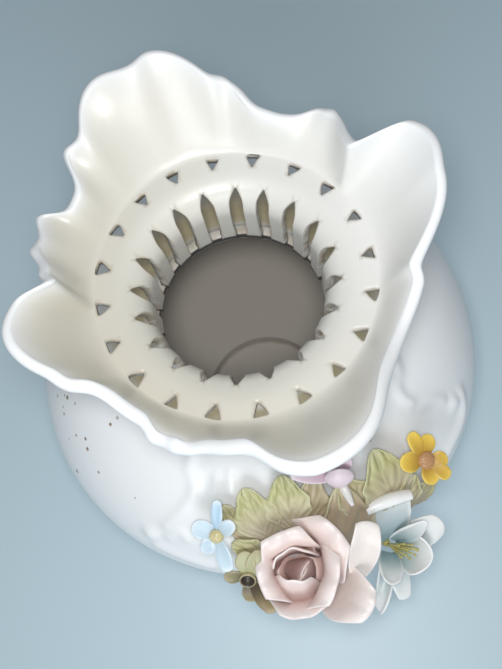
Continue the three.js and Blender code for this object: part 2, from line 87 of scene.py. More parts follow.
def newPaint(name, values):
    paint = bpy.data.materials.new(name)
    paint.use_nodes = True
    shader = paint.node_tree.nodes["Principled BSDF"]
    for label, value in values.items():
        shader.inputs[label].default_value = value
    return paint, paint.node_tree, shader


def addStudio():
    world = bpy.data.worlds.new("softRoom")
    bpy.context.scene.world = world
    world.use_nodes = True
    sky = world.node_tree.nodes["Background"]
    sky.inputs["Color"].default_value = studio["worldColour"]
    sky.inputs["Strength"].default_value = studio["worldStrength"]
    half = studio["floorSize"] / 2
    mesh = bpy.data.meshes.new("floor")
    corners = [(-half, -half, 0), (half, -half, 0), (half, half, 0), (-half, half, 0)]
    mesh.from_pydata(corners, [], [(0, 1, 2, 3)])
    paint, _, _ = newPaint("paleTable", {
        "Base Color": studio["floorColour"], "Roughness": studio["floorRoughness"]})
    mesh.materials.append(paint)
    floor = addObject("floor", mesh)
    for name, (place, aim, size, watts, colour) in studio["lamps"].items():
        data = bpy.data.lights.new(name, "AREA")
        data.size, data.energy, data.color = size, watts, colour
        away = Vector(place) - Vector(aim)
        turned = away.to_track_quat("Z", "Y").to_matrix().to_4x4()
        addObject(name, data).matrix_world = Matrix.Translation(place) @ turned


def newGroup(name, inputs, output, kind="ShaderNodeTree"):
    # a socket is a name and a kind, and an input may have a value as well
    tree = bpy.data.node_groups.new(name, kind)
    for label, sort, *value in inputs:
        socket = tree.interface.new_socket(
            label, in_out="INPUT", socket_type="NodeSocket" + sort)
        if value:
            socket.default_value = value[0]
    tree.interface.new_socket(output[0], in_out="OUTPUT", socket_type="NodeSocket" + output[1])
    given, out = tree.nodes.new("NodeGroupInput"), tree.nodes.new("NodeGroupOutput")
    return tree, given.outputs, out.inputs[0]


def addNode(tree, kind, settings=None, **inputs):
    # an input is named with _ for each space, or _ and its number
    node = tree.nodes.new(kind)
    for key, value in (settings or {}).items():
        setattr(node, key, value)
    for key, value in inputs.items():
        socket = node.inputs[int(key[1:]) if key[0] == "_" else key.replace("_", " ")]
        if isinstance(value, bpy.types.NodeSocket):
            tree.links.new(value, socket)
        else:
            socket.default_value = value
    return node


def mathNode(tree, operation, a, b=0.0, clamp=False):
    settings = {"operation": operation, "use_clamp": clamp}
    return addNode(tree, "ShaderNodeMath", settings, _0=a, _1=b).outputs[0]


def times(tree, a, b, clamp=False):
    return mathNode(tree, "MULTIPLY", a, b, clamp)


def plus(tree, a, b):
    return mathNode(tree, "ADD", a, b)


def mixColours(tree, share, a, b):
    return addNode(tree, "ShaderNodeMix", {"data_type": "RGBA"}, _0=share, _6=a, _7=b).outputs[2]


def spread(tree, value, low, high, smooth=False):
    # stretches the values between low and high to 0 to 1
    settings = {"interpolation_type": "SMOOTHSTEP"} if smooth else {}
    return addNode(tree, "ShaderNodeMapRange", settings, Value=value, From_Min=low,
                   From_Max=high).outputs[0]


def readAttribute(tree, name):
    return addNode(tree, "ShaderNodeAttribute", {"attribute_name": name}).outputs["Fac"]


def objectPlace(tree):
    return addNode(tree, "ShaderNodeTexCoord").outputs["Object"]


def noise(tree, scale, **more):
    place = objectPlace(tree)
    return addNode(tree, "ShaderNodeTexNoise", Vector=place, Scale=scale, **more).outputs["Fac"]


def useGroup(tree, name, **inputs):
    group = bpy.data.node_groups[name]
    return addNode(tree, "ShaderNodeGroup", {"node_tree": group}, **inputs).outputs[0]


def makeGlazeWash():
    # two tones of one glaze, drifting over the surface as it pooled in the kiln
    tree, given, out = newGroup("glazeWash", [
        ("Thin", "Color"), ("Thick", "Color"), ("Scale", "Float", 30.0),
        ("Amount", "Float", 1.0)], ("Colour", "Color"))
    clouds = noise(tree, given["Scale"], Detail=4.0, Roughness=0.55)
    share = times(tree, spread(tree, clouds, 0.36, 0.66), given["Amount"], True)
    tree.links.new(mixColours(tree, share, given["Thin"], given["Thick"]), out)


def makePinholes():
    # small dark pits where the glaze crawled, sparse and uneven
    tree, given, out = newGroup("pinholes", [
        ("Scale", "Float", 160.0), ("Size", "Float", 0.1), ("Share", "Float", 0.06)],
        ("Mask", "Float"))
    cells = addNode(tree, "ShaderNodeTexVoronoi", Vector=objectPlace(tree), Scale=given["Scale"])
    chance = addNode(tree, "ShaderNodeSeparateColor", Color=cells.outputs["Color"])
    chosen = mathNode(tree, "LESS_THAN", chance.outputs[0], given["Share"])
    grown = times(tree, given["Size"], plus(tree, chance.outputs[1], 0.35))
    near = spread(tree, cells.outputs["Distance"], grown, times(tree, grown, 0.4))
    tree.links.new(times(tree, near, chosen), out)


def makeUnevenGlaze():
    # the soft waves and orange-peel of a dipped glaze, as a height
    tree, given, out = newGroup("unevenGlaze", [
        ("Wave", "Float", 60.0), ("Peel", "Float", 500.0), ("Peel Share", "Float", 0.12)],
        ("Height", "Float"))
    wave, peel = [noise(tree, given[label], Detail=2.0) for label in ("Wave", "Peel")]
    tree.links.new(plus(tree, wave, times(tree, peel, given["Peel Share"])), out)


def makeGrimeAndShade():
    # brown dirt and painted shade, thinning out in patches
    tree, given, out = newGroup("grimeAndShadePatches", [
        ("Amount", "Float", 0.0), ("Scale", "Float", 220.0)], ("Mask", "Float"))
    patchy = spread(tree, noise(tree, given["Scale"], Detail=4.0), 0.28, 0.62)
    tree.links.new(times(tree, given["Amount"], patchy, True), out)


def newGlaze(name, roughness=0.2, coat=0.6):
    return newPaint(name, {"Roughness": roughness, "Coat Weight": coat, "Coat Roughness": 0.25})


def finishGlaze(tree, shader, colour, depth, wave, extra=None):
    # depth is the strength of the glaze's unevenness, extra a height laid over it
    height = useGroup(tree, "unevenGlaze", Wave=wave)
    if extra is not None:
        height = plus(tree, height, extra)
    bump = addNode(tree, "ShaderNodeBump", Height=height, Strength=depth, Distance=0.0012)
    tree.links.new(colour, shader.inputs["Base Color"])
    tree.links.new(bump.outputs["Normal"], shader.inputs["Normal"])


porcelain = {
    "cool": (0.82, 0.84, 0.86, 1),
    "pooled": (0.81, 0.79, 0.76, 1), "poolScale": 14.0, "poolShare": 0.35,
    # a warm cream tone that is also painted shade inside the rim, most in front and to the left
    "warmShade": (0.54, 0.485, 0.345, 1),
    # a darker tone inside the bowl, more of it lower down
    "dust": (0.49, 0.455, 0.405, 1),
    # a brown stain that is also painted shade behind the neck and under the flare
    "stainAndShade": (0.40, 0.33, 0.18, 1),
    # brown grime that is also painted shade in crevices and under the flare
    "grimeAndShade": (0.25, 0.17, 0.08, 1), "grimeShadeScale": 210.0,
    "pit": (0.24, 0.15, 0.09, 1), "pitScale": 185.0, "pitSize": 0.21, "pitShare": 0.80,
    "strayPits": 0.004, "pitDepth": -0.6,
    # near-black painted shadow in the gap under the bars' feet
    "seam": (0.09, 0.085, 0.085, 1),
    "roughness": 0.39, "dirtRoughness": 0.42, "coat": 0.25, "bump": 0.16, "wave": 40.0,
}


def makePorcelain():
    # the pieces carry how warm, how much darker inside, how stained, how dirty, how pitted and how
    # close to the gap under the bars each point is; the warm tint, the stain and the dirt are
    # partly painted shade, and the gap's dark band is painted shadow
    paint, tree, shader = newGlaze("whitePorcelain")
    warmthAndShade, dust, stainAndShade, grimeAndShade, pitted, gapShadow = [readAttribute(tree, label) for label in (
        "warmthAndShade", "dust", "stainAndShade", "grimeAndShade", "pitted", "seam")]
    soiledAndShaded = useGroup(tree, "grimeAndShadePatches", Amount=grimeAndShade, Scale=porcelain["grimeShadeScale"])
    share = plus(tree, times(tree, pitted, porcelain["pitShare"]), porcelain["strayPits"])
    pits = useGroup(tree, "pinholes", Scale=porcelain["pitScale"], Size=porcelain["pitSize"],
                    Share=share)
    colour = useGroup(tree, "glazeWash", Thin=porcelain["cool"], Thick=porcelain["pooled"],
                      Scale=porcelain["poolScale"], Amount=porcelain["poolShare"])
    for label, mask in {"warmShade": warmthAndShade, "dust": dust, "stainAndShade": stainAndShade, "grimeAndShade": soiledAndShaded,
                        "pit": pits, "seam": spread(tree, gapShadow, 0.25, 0.7)}.items():
        colour = mixColours(tree, mask, colour, porcelain[label])
    matt = mathNode(tree, "MAXIMUM", dust, mathNode(tree, "MAXIMUM", stainAndShade, soiledAndShaded))
    rough = plus(tree, times(tree, matt, porcelain["dirtRoughness"]), porcelain["roughness"])
    tree.links.new(rough, shader.inputs["Roughness"])
    gloss = times(tree, spread(tree, matt, 0.5, 0.0), porcelain["coat"])
    tree.links.new(gloss, shader.inputs["Coat Weight"])
    finishGlaze(tree, shader, colour, porcelain["bump"], porcelain["wave"],
                times(tree, pits, porcelain["pitDepth"]))
    return paint


flowerGlazes = {
    # inside of a petal at its foot and nearer its tip, outside, edge, and what a petal's
    # own tint turns it to
    "rosePetal": (
        (0.62, 0.4, 0.36), (0.8, 0.65, 0.61), (0.8, 0.68, 0.65), (0.86, 0.81, 0.8),
        (0.82, 0.77, 0.73)),
    "roseHeart": (
        (0.66, 0.44, 0.4), (0.76, 0.56, 0.52), (0.8, 0.65, 0.62), (0.86, 0.76, 0.74),
        (0.6, 0.38, 0.35)),
    "pinkBud": (
        (0.64, 0.46, 0.54), (0.77, 0.62, 0.69), (0.76, 0.64, 0.7), (0.82, 0.75, 0.79),
        (0.6, 0.585, 0.56)),
    # the white lily's dark foot tone is painted shade deep in its throat
    "whiteLily": (
        (0.22, 0.33, 0.36), (0.74, 0.75, 0.74), (0.8, 0.8, 0.8), (0.86, 0.86, 0.85),
        (0.5, 0.6, 0.63)),
    "stamen": (
        (0.2, 0.17, 0.04), (0.4, 0.36, 0.1), (0.34, 0.3, 0.08), (0.5, 0.45, 0.18),
        (0.4, 0.36, 0.08)),
    "goldenPetal": (
        (0.46, 0.27, 0.04), (0.72, 0.49, 0.07), (0.6, 0.38, 0.05), (0.78, 0.58, 0.14),
        (0.5, 0.3, 0.05)),
    "orangeCentre": (
        (0.36, 0.18, 0.09), (0.46, 0.25, 0.12), (0.46, 0.25, 0.12), (0.5, 0.29, 0.14),
        (0.46, 0.25, 0.12)),
    "skyPetal": (
        (0.48, 0.6, 0.68), (0.58, 0.7, 0.78), (0.68, 0.76, 0.8), (0.78, 0.83, 0.86),
        (0.36, 0.54, 0.7)),
    "mustardCentre": (
        (0.42, 0.36, 0.16), (0.6, 0.52, 0.28), (0.6, 0.52, 0.28), (0.66, 0.6, 0.38),
        (0.58, 0.5, 0.22)),
    # the near-black edge and tint are painted shade inside the ochre flower's hollow
    "ochreHole": (
        (0.36, 0.3, 0.16), (0.5, 0.45, 0.28), (0.36, 0.3, 0.16), (0.05, 0.04, 0.03),
        (0.05, 0.04, 0.03)),
    # the ochre petals' near-black foot tone is painted shade round the hollow
    "ochrePetal": (
        (0.07, 0.05, 0.03), (0.27, 0.2, 0.09), (0.24, 0.18, 0.09), (0.46, 0.4, 0.26),
        (0.42, 0.42, 0.24)),
    "sageLeaf": (
        (0.48, 0.42, 0.31), (0.45, 0.46, 0.2), (0.4, 0.4, 0.26), (0.56, 0.56, 0.36),
        (0.4, 0.31, 0.21)),
}
petalGlaze = {
    "roughness": 0.42, "coat": 0.16, "bump": 0.3, "wave": 150.0,
    "edgeStart": 0.78, "edgeShare": 0.8, "poolScale": 110.0, "poolShare": 0.5,
}
veins = {"along": 26.0, "slant": -18.0, "driftScale": 90.0, "drift": 9.0, "midribWidth": 0.12,
         "midribDepth": -3.0, "shade": 0.22, "leafDepth": 0.5}


def makeFlowerGlaze(name, tones, veinDepth):
    # the piece's UV map runs from foot to tip (x) and from side to side (y)
    paint, tree, shader = newGlaze(name, petalGlaze["roughness"], petalGlaze["coat"])
    deep, pale, outside, edge, tint = [(*tone, 1) for tone in tones]
    uv = addNode(tree, "ShaderNodeTexCoord").outputs["UV"]
    u, v, _ = addNode(tree, "ShaderNodeSeparateXYZ", Vector=uv).outputs
    inside = mixColours(tree, spread(tree, u, 0.1, 0.95, True), deep, pale)
    sided = mixColours(tree, readAttribute(tree, "inside"), outside, inside)
    tinted = mixColours(tree, readAttribute(tree, "tint"), sided, tint)
    aside = mathNode(tree, "ABSOLUTE", plus(tree, times(tree, v, 2.0), -1.0))
    nearEdge = spread(tree, mathNode(tree, "MAXIMUM", aside, u), petalGlaze["edgeStart"], 1.0, True)
    edged = mixColours(tree, times(tree, nearEdge, petalGlaze["edgeShare"]), tinted, edge)
    colour = useGroup(tree, "glazeWash", Thin=edged, Thick=tinted,
                      Scale=petalGlaze["poolScale"], Amount=petalGlaze["poolShare"])
    extra = None
    if veinDepth:
        slant = plus(tree, times(tree, u, veins["along"]), times(tree, aside, veins["slant"]))
        drift = times(tree, noise(tree, veins["driftScale"], Detail=2.0), veins["drift"])
        ribs = mathNode(tree, "SINE", plus(tree, slant, drift))
        midrib = times(tree, spread(tree, aside, 0.0, veins["midribWidth"]), veins["midribDepth"])
        extra = times(tree, plus(tree, ribs, midrib), veinDepth)
        shade = times(tree, spread(tree, ribs, 0.4, -1.0), veins["shade"])
        colour = mixColours(tree, shade, colour, tint)
    finishGlaze(tree, shader, colour, petalGlaze["bump"], petalGlaze["wave"], extra)
    return paint


def makePlain(obj):
    # turns what the modifiers make into a mesh of its own
    bpy.context.view_layer.update()
    evaluated = obj.evaluated_get(bpy.context.evaluated_depsgraph_get())
    solid = bpy.data.meshes.new_from_object(evaluated)
    obj.modifiers.clear()
    old, obj.data = obj.data, solid
    bpy.data.meshes.remove(old)


def roundOff(obj):
    rounding = obj.modifiers.new("rounding", "SUBSURF")
    rounding.levels = rounding.render_levels = 1
    makePlain(obj)


def newShapeTree(name, sizes):
    return newGroup(name, [("Geometry", "Geometry"), *sizes, ("Glaze", "Material")],
                    ("Geometry", "Geometry"), "GeometryNodeTree")


def onPoints(tree, points, instance, **more):
    return addNode(tree, "GeometryNodeInstanceOnPoints", Points=points, Instance=instance,
                   **more).outputs[0]


def joined(tree, *parts):
    # joins the parts and makes their copies real
    both = addNode(tree, "GeometryNodeJoinGeometry")
    for part in parts:
        tree.links.new(part, both.inputs[0])
    return addNode(tree, "GeometryNodeRealizeInstances", Geometry=both.outputs[0]).outputs[0]


def closeShapeTree(tree, whole, glaze, out):
    glazed = addNode(tree, "GeometryNodeSetMaterial", Geometry=whole, Material=glaze)
    tree.links.new(glazed.outputs[0], out)
    return tree


def runShapeTree(obj, tree, **values):
    # an input of the tree is named with _ for each space
    modifier = obj.modifiers.new(tree.name, "NODES")
    modifier.node_group = tree
    for item in tree.interface.items_tree:
        name = item.name.replace(" ", "_")
        if item.in_out == "INPUT" and name in values:
            modifier[item.identifier] = values[name]
    makePlain(obj)


def addAttribute(mesh, label, values):
    spots = mesh.attributes.new(label, "FLOAT", "POINT").data
    spots.foreach_set("value", np.asarray(values, dtype=np.float32))


def newObject(name, vertices, faces, attributes, uvs=None):
    mesh = bpy.data.meshes.new(name)
    vertices = (np.asarray(vertices, dtype=float) * mm).tolist()
    mesh.from_pydata(vertices, [], [tuple(face) for face in faces])
    if uvs is not None:
        layer = mesh.uv_layers.new(name="petal")
        corners = np.empty(len(mesh.loops), dtype=np.int32)
        mesh.loops.foreach_get("vertex_index", corners)
        layer.data.foreach_set("uv", np.array(uvs, dtype=np.float32)[corners].ravel())
    for label, values in attributes.items():
        addAttribute(mesh, label, values)
    return addObject(name, mesh)


def finishPiece(obj, material, slot, *nodes):
    mesh = obj.data
    mesh.polygons.foreach_set("use_smooth", [True] * len(mesh.polygons))
    mesh.materials.clear()
    mesh.materials.append(material)
    work = bmesh.new()
    work.from_mesh(mesh)
    bmesh.ops.recalc_face_normals(work, faces=work.faces)
    work.to_mesh(mesh)
    work.free()
    mesh.update()
    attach(obj, "root")
    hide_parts(*nodes)


def unit(v):
    return v / np.maximum(np.linalg.norm(v, axis=-1, keepdims=True), 1e-9)


def quads(index):
    # the faces of a grid of vertex numbers
    return np.stack([index[:-1, :-1], index[:-1, 1:], index[1:, 1:], index[1:, :-1]],
                    axis=-1).reshape(-1, 4)


def turnedMesh(profile, around):
    # a ring for each point of the profile, then the middles of the bottom and the top
    profile = np.asarray(profile, dtype=float)
    rings = profile[1:-1]
    angles = np.arange(around) * 2 * math.pi / around
    vertices = np.stack([
        np.outer(rings[:, 0], np.cos(angles)), np.outer(rings[:, 0], np.sin(angles)),
        np.repeat(rings[:, 1:], around, axis=1)], axis=-1).reshape(-1, 3)
    index = np.arange(len(vertices)).reshape(-1, around)
    index = np.hstack([index, index[:, :1]])
    bottom = len(vertices)
    faces = quads(index).tolist()
    for k in range(around):
        faces += [(bottom, index[0, k + 1], index[0, k]),
                  (bottom + 1, index[-1, k], index[-1, k + 1])]
    return np.vstack([vertices, [[0, 0, profile[0, 1]], [0, 0, profile[-1, 1]]]]), faces


bowl = {
    "radius": 114.6, "widest": 93, "rise": 73.6, "drop": 82, "wall": 5,
    "skin": 0.993,  # the glazed outside, as a share of the radius
    "mouthRadius": 39.5, "ledgeWidth": 4.5, "ledgeHeight": 1.6,
    "footRadius": 45, "footHeight": 10, "footWaist": 1.6, "floor": 12.5, "wellRadius": 35.5,
    "around": 420, "rows": 124, "rowsInside": 40,
    # the brown stain round the neck, which is painted shade where it reaches further behind under
    # the back of the rim: how far it reaches at the sides, how much further behind, over what width
    # it fades, its share, and its loss from lossStart outwards
    "stainShadeReach": 74, "stainShadeBehind": 12, "stainShadeFade": 13, "stainShadeShare": 0.9,
    "stainShadeLoss": 0.3, "lossStart": 58,
    # shares of grime and painted shade on the ledge and the stain, and of painted shade at the
    # well's edge
    "ledgeStainShade": 0.4, "ledgeGrimeShade": 0.5, "stainGrimeShade": 0.3, "wellShadeShare": 0.3,
    # how much darker the inside is: its share at the mouth, what the depth adds, and the height
    # where it starts to add and over which it does
    "dust": 0.10, "darkerDeep": 0.85, "darkeningTop": 140, "darkeningFade": 80,
    # azimuth, slope and reach of the pitted places
    "pits": [(-174, 43, 9), (-167, 40, 9), (-163, 34, 7), (-159, 39, 8), (-158, 60, 5),
             (-152, 44, 7), (-139, 45, 5), (-56, 53, 6)],
}
seatGap = 0.32


def shoulderAt(r, inset=0.0):
    share = r / (bowl["radius"] - inset)
    return bowl["widest"] + (bowl["rise"] - inset) * math.sqrt(max(0, 1 - share ** 2))


ledgeRadius = bowl["mouthRadius"] + bowl["ledgeWidth"]
ledgeTop = shoulderAt(ledgeRadius) + bowl["ledgeHeight"]


def onBowl(azimuth, slope):
    # the place on the outside where its normal climbs by slope
    c, s = math.cos(math.radians(slope)), math.sin(math.radians(slope))
    size = math.hypot(bowl["radius"] * c, bowl["rise"] * s)
    r = bowl["radius"] ** 2 * c / size
    a = math.radians(azimuth)
    height = bowl["widest"] + bowl["rise"] ** 2 * s / size
    return Vector((r * math.cos(a), r * math.sin(a), height))


def bowlArc(low, high, count, inset):
    # the belly's curve between two heights, moved inwards by inset
    widest = bowl["widest"]

    def reachAt(above):
        return (bowl["rise"] if above else bowl["drop"]) - inset

    start, end = [math.asin((z - widest) / reachAt(z > widest)) for z in (low, high)]
    return [((bowl["radius"] - inset) * math.cos(angle),
             widest + reachAt(angle > 0) * math.sin(angle))
            for angle in np.linspace(start, end, count)]


def bowlProfile():
    # outside from the table up to the mouth, then down the inside
    foot, waist, footTop = bowl["footRadius"], bowl["footWaist"], bowl["footHeight"]
    mouth, wall, well, floor = [bowl[size] for size in (
        "mouthRadius", "wall", "wellRadius", "floor")]
    ledge, top = ledgeRadius, ledgeTop
    line = [(foot * k / 6, 0) for k in range(6)]
    line += [(foot - 1, 0), (foot - 0.3, 0.3), (foot, 1), (foot - waist * 0.3, 5),
             (foot - waist * 0.8, footTop), (foot - waist * 0.3, footTop + 3)]
    line += [(r * bowl["skin"], z) for r, z in bowlArc(
        footTop + 8, shoulderAt(ledge + 2), bowl["rows"], 0)]
    line += [(ledge + 0.6, top - 1.1), (ledge, top - 0.3), (ledge - 0.7, top),
             (mouth + 1, top), (mouth + 0.2, top - 0.4), (mouth, top - 1.2)]
    outsideRows = len(line)
    lip = shoulderAt(mouth + 1, wall)
    share = well / (bowl["radius"] - wall)
    wellTop = bowl["widest"] - (bowl["drop"] - wall) * math.sqrt(1 - share ** 2)
    line += [(mouth, top - 2.6), (mouth, top - 4), (mouth, lip + 1.2), (mouth + 0.4, lip + 0.6)]
    line += bowlArc(lip, wellTop + 1, bowl["rowsInside"], wall)
    line += [(well + 0.9, wellTop + 0.35), (well + 0.3, wellTop), (well, wellTop - 0.7),
             (well - 0.3, floor + 1.2), (well - 1, floor + 0.4), (well - 2.2, floor)]
    line += [(well * k / 8, floor) for k in range(7, -1, -1)]
    return line, outsideRows


relief = {
    # low scrolls moulded in the shoulder on both sides of the flowers:
    # half width, height and the line in azimuth and slope
    "leftUpper": (3.0, 1.2, [
        (-126.6, 64.8), (-126.7, 61.0), (-122.8, 57.8), (-123.3, 53.0), (-125.5, 47.2),
        (-128.8, 39.5)]),
    "leftKnob": (4.0, 2.0, [(-132.9, 30.2), (-132.6, 29.2)]),
    "leftLower": (4.0, 1.5, [(-130.4, 22.0), (-126.5, 21.0), (-121.8, 20.0), (-117.2, 17.9)]),
    "leftInner": (2.6, 1.1, [(-127.8, 33.0), (-124.8, 40.3), (-122.9, 35.9)]),
    "leftRib": (2.0, 1.0, [(-116.1, 61.0), (-116.2, 56.4)]),
    "middleRib": (2.0, 1.0, [(-111.3, 61.8), (-110.7, 57.5)]),
    "rightUpper": (3.0, 1.5, [
        (-33.4, 62.8), (-36.3, 60.8), (-41.2, 60.5), (-43.9, 57.6), (-43.7, 53.8)]),
    "rightKnob": (4.0, 2.0, [(-35.7, 35.8), (-35.3, 34.8)]),
    "rightLower": (4.0, 2.0, [
        (-32.5, 32.3), (-34.9, 25.4), (-38.8, 22.6), (-42.8, 23.0), (-46.9, 23.0)]),
    "rightInner": (2.6, 1.2, [(-42.7, 51.0), (-38.8, 47.8), (-37.0, 42.3)]),
}


def smoothLine(points):
    # rounds a line's corners by cutting them twice
    for _ in range(2):
        cut = [points[0]]
        for a, b in zip(points, points[1:]):
            cut += [a * 0.75 + b * 0.25, a * 0.25 + b * 0.75]
        points = cut + [points[-1]]
    return points


def reliefHeight(points):
    height = np.zeros(len(points))
    for width, rise, places in relief.values():
        line = smoothLine([np.array(onBowl(*at)) for at in places])
        nearest = np.full(len(points), 1e9)
        for a, b in zip(line, line[1:]):
            way = b - a
            along = np.clip((points - a) @ way / max(1e-9, way @ way), 0, 1)
            off = np.linalg.norm(points - a - along[:, None] * way, axis=1)
            nearest = np.minimum(nearest, off)
        height = np.maximum(height, rise * np.exp(-(nearest / width) ** 2))
    return height


def nearPlace(points, azimuth, slope, reach):
    off = np.linalg.norm(points - np.array(onBowl(azimuth, slope)), axis=1)
    return np.exp(-(off / reach) ** 2)


def makeBowl(material):
    line, outsideRows = bowlProfile()
    vertices, faces = turnedMesh(line, bowl["around"])
    radius, height = np.hypot(vertices[:, 0], vertices[:, 1]), vertices[:, 2]
    inside = np.zeros(len(vertices))
    inside[(outsideRows - 1) * bowl["around"]:] = 1
    inside[-2] = 0  # the middle of the bottom
    # the scrolls stand out of the shoulder along its normal
    skin = (inside < 0.5) * (height > bowl["widest"] - 10) * (radius > ledgeRadius + 2)
    axes = np.array([bowl["radius"], bowl["radius"], bowl["rise"]]) ** 2
    normal = unit((vertices - [0, 0, bowl["widest"]]) / axes)
    vertices = vertices + normal * (reliefHeight(vertices) * skin)[:, None]
    # the stain reaches further behind the neck, as painted shade under the back of the rim
    reach = bowl["stainShadeReach"] + bowl["stainShadeBehind"] * vertices[:, 1] / np.maximum(radius, 1)
    stainAndShade = skin * np.clip((radius - ledgeRadius + 8) / 12, 0, 1)
    stainAndShade *= np.clip((reach - radius) / bowl["stainShadeFade"], 0, 1)
    loss = bowl["stainShadeLoss"] * np.clip((radius - bowl["lossStart"]) / 10, 0, 1)
    stainAndShade *= bowl["stainShadeShare"] - loss
    # the ledge under the neck gets stain, grime and painted shade where the neck sits
    ledge = (np.abs(radius - ledgeRadius) < 5) * (height > ledgeTop - 2.5)
    stainAndShade = np.maximum(stainAndShade, ledge * bowl["ledgeStainShade"])
    # a dark line round the edge of the well inside: painted shade in the corner
    wellShade = np.exp(-((radius - bowl["wellRadius"] + 0.6) / 1.1) ** 2)
    wellShade *= inside * (height < bowl["floor"] + 3)
    grimeAndShade = np.max([stainAndShade * bowl["stainGrimeShade"], ledge * bowl["ledgeGrimeShade"],
                    wellShade * bowl["wellShadeShare"]], axis=0)
    # a dark band on the mouth's wall under the bars' feet: painted shadow in the gap
    seam = np.abs(radius - bowl["mouthRadius"]) < 0.1
    seam = seam * (height < ledgeTop - 0.8) * (height > ledgeTop - 4.1)
    # the inside grows darker lower down
    deep = np.clip((bowl["darkeningTop"] - height) / bowl["darkeningFade"], 0, 1)
    pitted = sum(nearPlace(vertices, *at) for at in bowl["pits"])
    obj = newObject("vaseBowl", vertices, faces, {
        "grimeAndShade": grimeAndShade, "dust": inside * (bowl["dust"] + bowl["darkerDeep"] * deep),
        "stainAndShade": stainAndShade, "seam": seam, "pitted": np.clip(pitted * skin, 0, 1)})
    finishPiece(obj, material, "white_porcelain", "body_bowl")
    print("bowl done,", len(faces), "faces")


neck = {
    "radius": 38, "wall": 4, "bendRadius": 15, "ringHeight": 37.2, "bars": 20,
    "slotFootWidth": 4.2, "slotWidth": 5.8, "slotTopReach": 7, "firstSlot": 3.5,
    "firstHole": 12.5, "holeRadius": 57.5, "holeWidth": 5.9, "holeLength": 5.6,
    "tongue": 1.8,  # how far the bars' feet hang into the mouth of the bowl
    # how uneven the cutting is: degrees, shares of a hole's size and millimetres
    "holeTurn": 20, "holeSize": 0.12, "holeShift": 0.5, "tipShift": 0.7, "seed": 7,
    "cutReach": 4.6,  # how far round a hole the wall moves with it
    # how far along the hole each row lies, and the hole's width there, as shares
    "holeRows": [(0, 0.12), (0.22, 0.36), (0.45, 0.62), (0.68, 0.84), (0.88, 1.0), (1, 0.86)],
    # grime and painted shade on the slots' edges, at their foot, on the holes' edges and at their
    # tips, how much more there is outside, and painted shade on every outside face under the flare
    "slotGrimeShade": 0.5, "footGrimeShade": 0.3, "holeGrimeShade": 0.5, "tipGrimeShade": 0.45,
    "grimeShadeOutside": 1.6, "shadeOnOutside": 0.12,
}
rim = {
    "wall": 5, "baseRadius": 71, "meanRise": 25, "lobeRise": 10, "lobes": 4, "firstLobe": 98,
    "lobeReach": 22, "flareEase": 0.6, "lipRadius": 2.9, "lipOut": 0.7,
    # how unevenly thick the lip is, and how much thicker it is in front
    "lipWander": 0.09, "lipFront": 0.7,
    # the warm cream tint inside, with painted shade where the flare faces away from the light:
    # everywhere, more in front and more to the left, the distances over which it grows, and what it
    # loses towards the lip
    "warmthAndShade": 0.15, "shadeFront": 0.50, "shadeLeft": 0.52, "frontReach": 110,
    "leftReach": 160, "lipLoss": 0.85,
    # pits inside, more to the left, and the stain and painted shade under the flare
    "pitted": 0.015, "pittedReach": 90, "stainAndShade": 0.5, "stainShadeEnd": 0.4,
    # angles of the small knobs on the lip, how far they stand out and how broad they are
    "knobs": [128, 147, 159, 175, -152.5, -129.5, -121.5, 42.5, 70.5],
    "knobRise": 1.3, "knobSpread": 2.2,
    # angle of the crest, spread before it, spread after it, reach (a notch below zero)
    "scallops": [
        (-173, 23, 29.5, 18.5), (-155, 5.5, 5.5, 2), (-127.5, 6.5, 8, 4),
        (-117.5, 11.5, 13, 5.5), (-104.5, 10, 9, 5), (-86, 10.5, 22.5, -4.5),
        (-84, 21, 41.5, 25.5), (-44.5, 15, 18.5, 2.5), (-23.5, 19.5, 4.5, 4),
        (5, 31, 19.5, 17.5), (20.5, 17.5, 4.5, 17), (25.5, 1.5, 9, -3.5),
        (43, 12.5, 10.5, 9.5), (48, 4.5, 11.5, 4), (75, 10.5, 6.5, 7),
        (95, 26, 16.5, 25.5), (111, 13.5, 22, 28), (128, 7.5, 8.5, 13.5),
        (142.5, 9, 4.5, -9.5), (145, 15, 20, 15.5), (159.5, 7.5, 11, 6.5),
        (174.5, 6, 2.5, -9)],
}
neckFoot = ledgeTop + seatGap
ringZ = ledgeTop + neck["ringHeight"]
flatEnd = neck["holeRadius"] + neck["holeLength"] / 2


def angleOff(angle, centre, whole=360):
    # how far an angle lies past a centre, at most half a turn either way
    return (angle - centre + whole / 2) % whole - whole / 2


def rimRadius(angle):  # degrees, array
    radius = np.full_like(angle, float(rim["baseRadius"]))
    for at, before, after, reach in rim["scallops"]:
        off = angleOff(angle, at)
        share = np.minimum(np.abs(off) / np.where(off < 0, before, after), 1)
        radius += np.where(share < 1, reach * np.cos(share * math.pi / 2) ** 2, 0)
    return radius


def lobeWave(angle):
    return np.cos(np.radians(rim["lobes"] * (angle - rim["firstLobe"])))


def rimHeight(angle):
    return ringZ + rim["meanRise"] + rim["lobeRise"] * lobeWave(angle)


def climbed(r, angle):
    # how far the flare has climbed at a radius: level at first, steepest halfway
    edge = rim["baseRadius"] + rim["lobeReach"] * (1 + lobeWave(angle)) / 2
    share = ((r - flatEnd) / (edge - flatEnd)) ** 2
    return share / (share + rim["flareEase"])


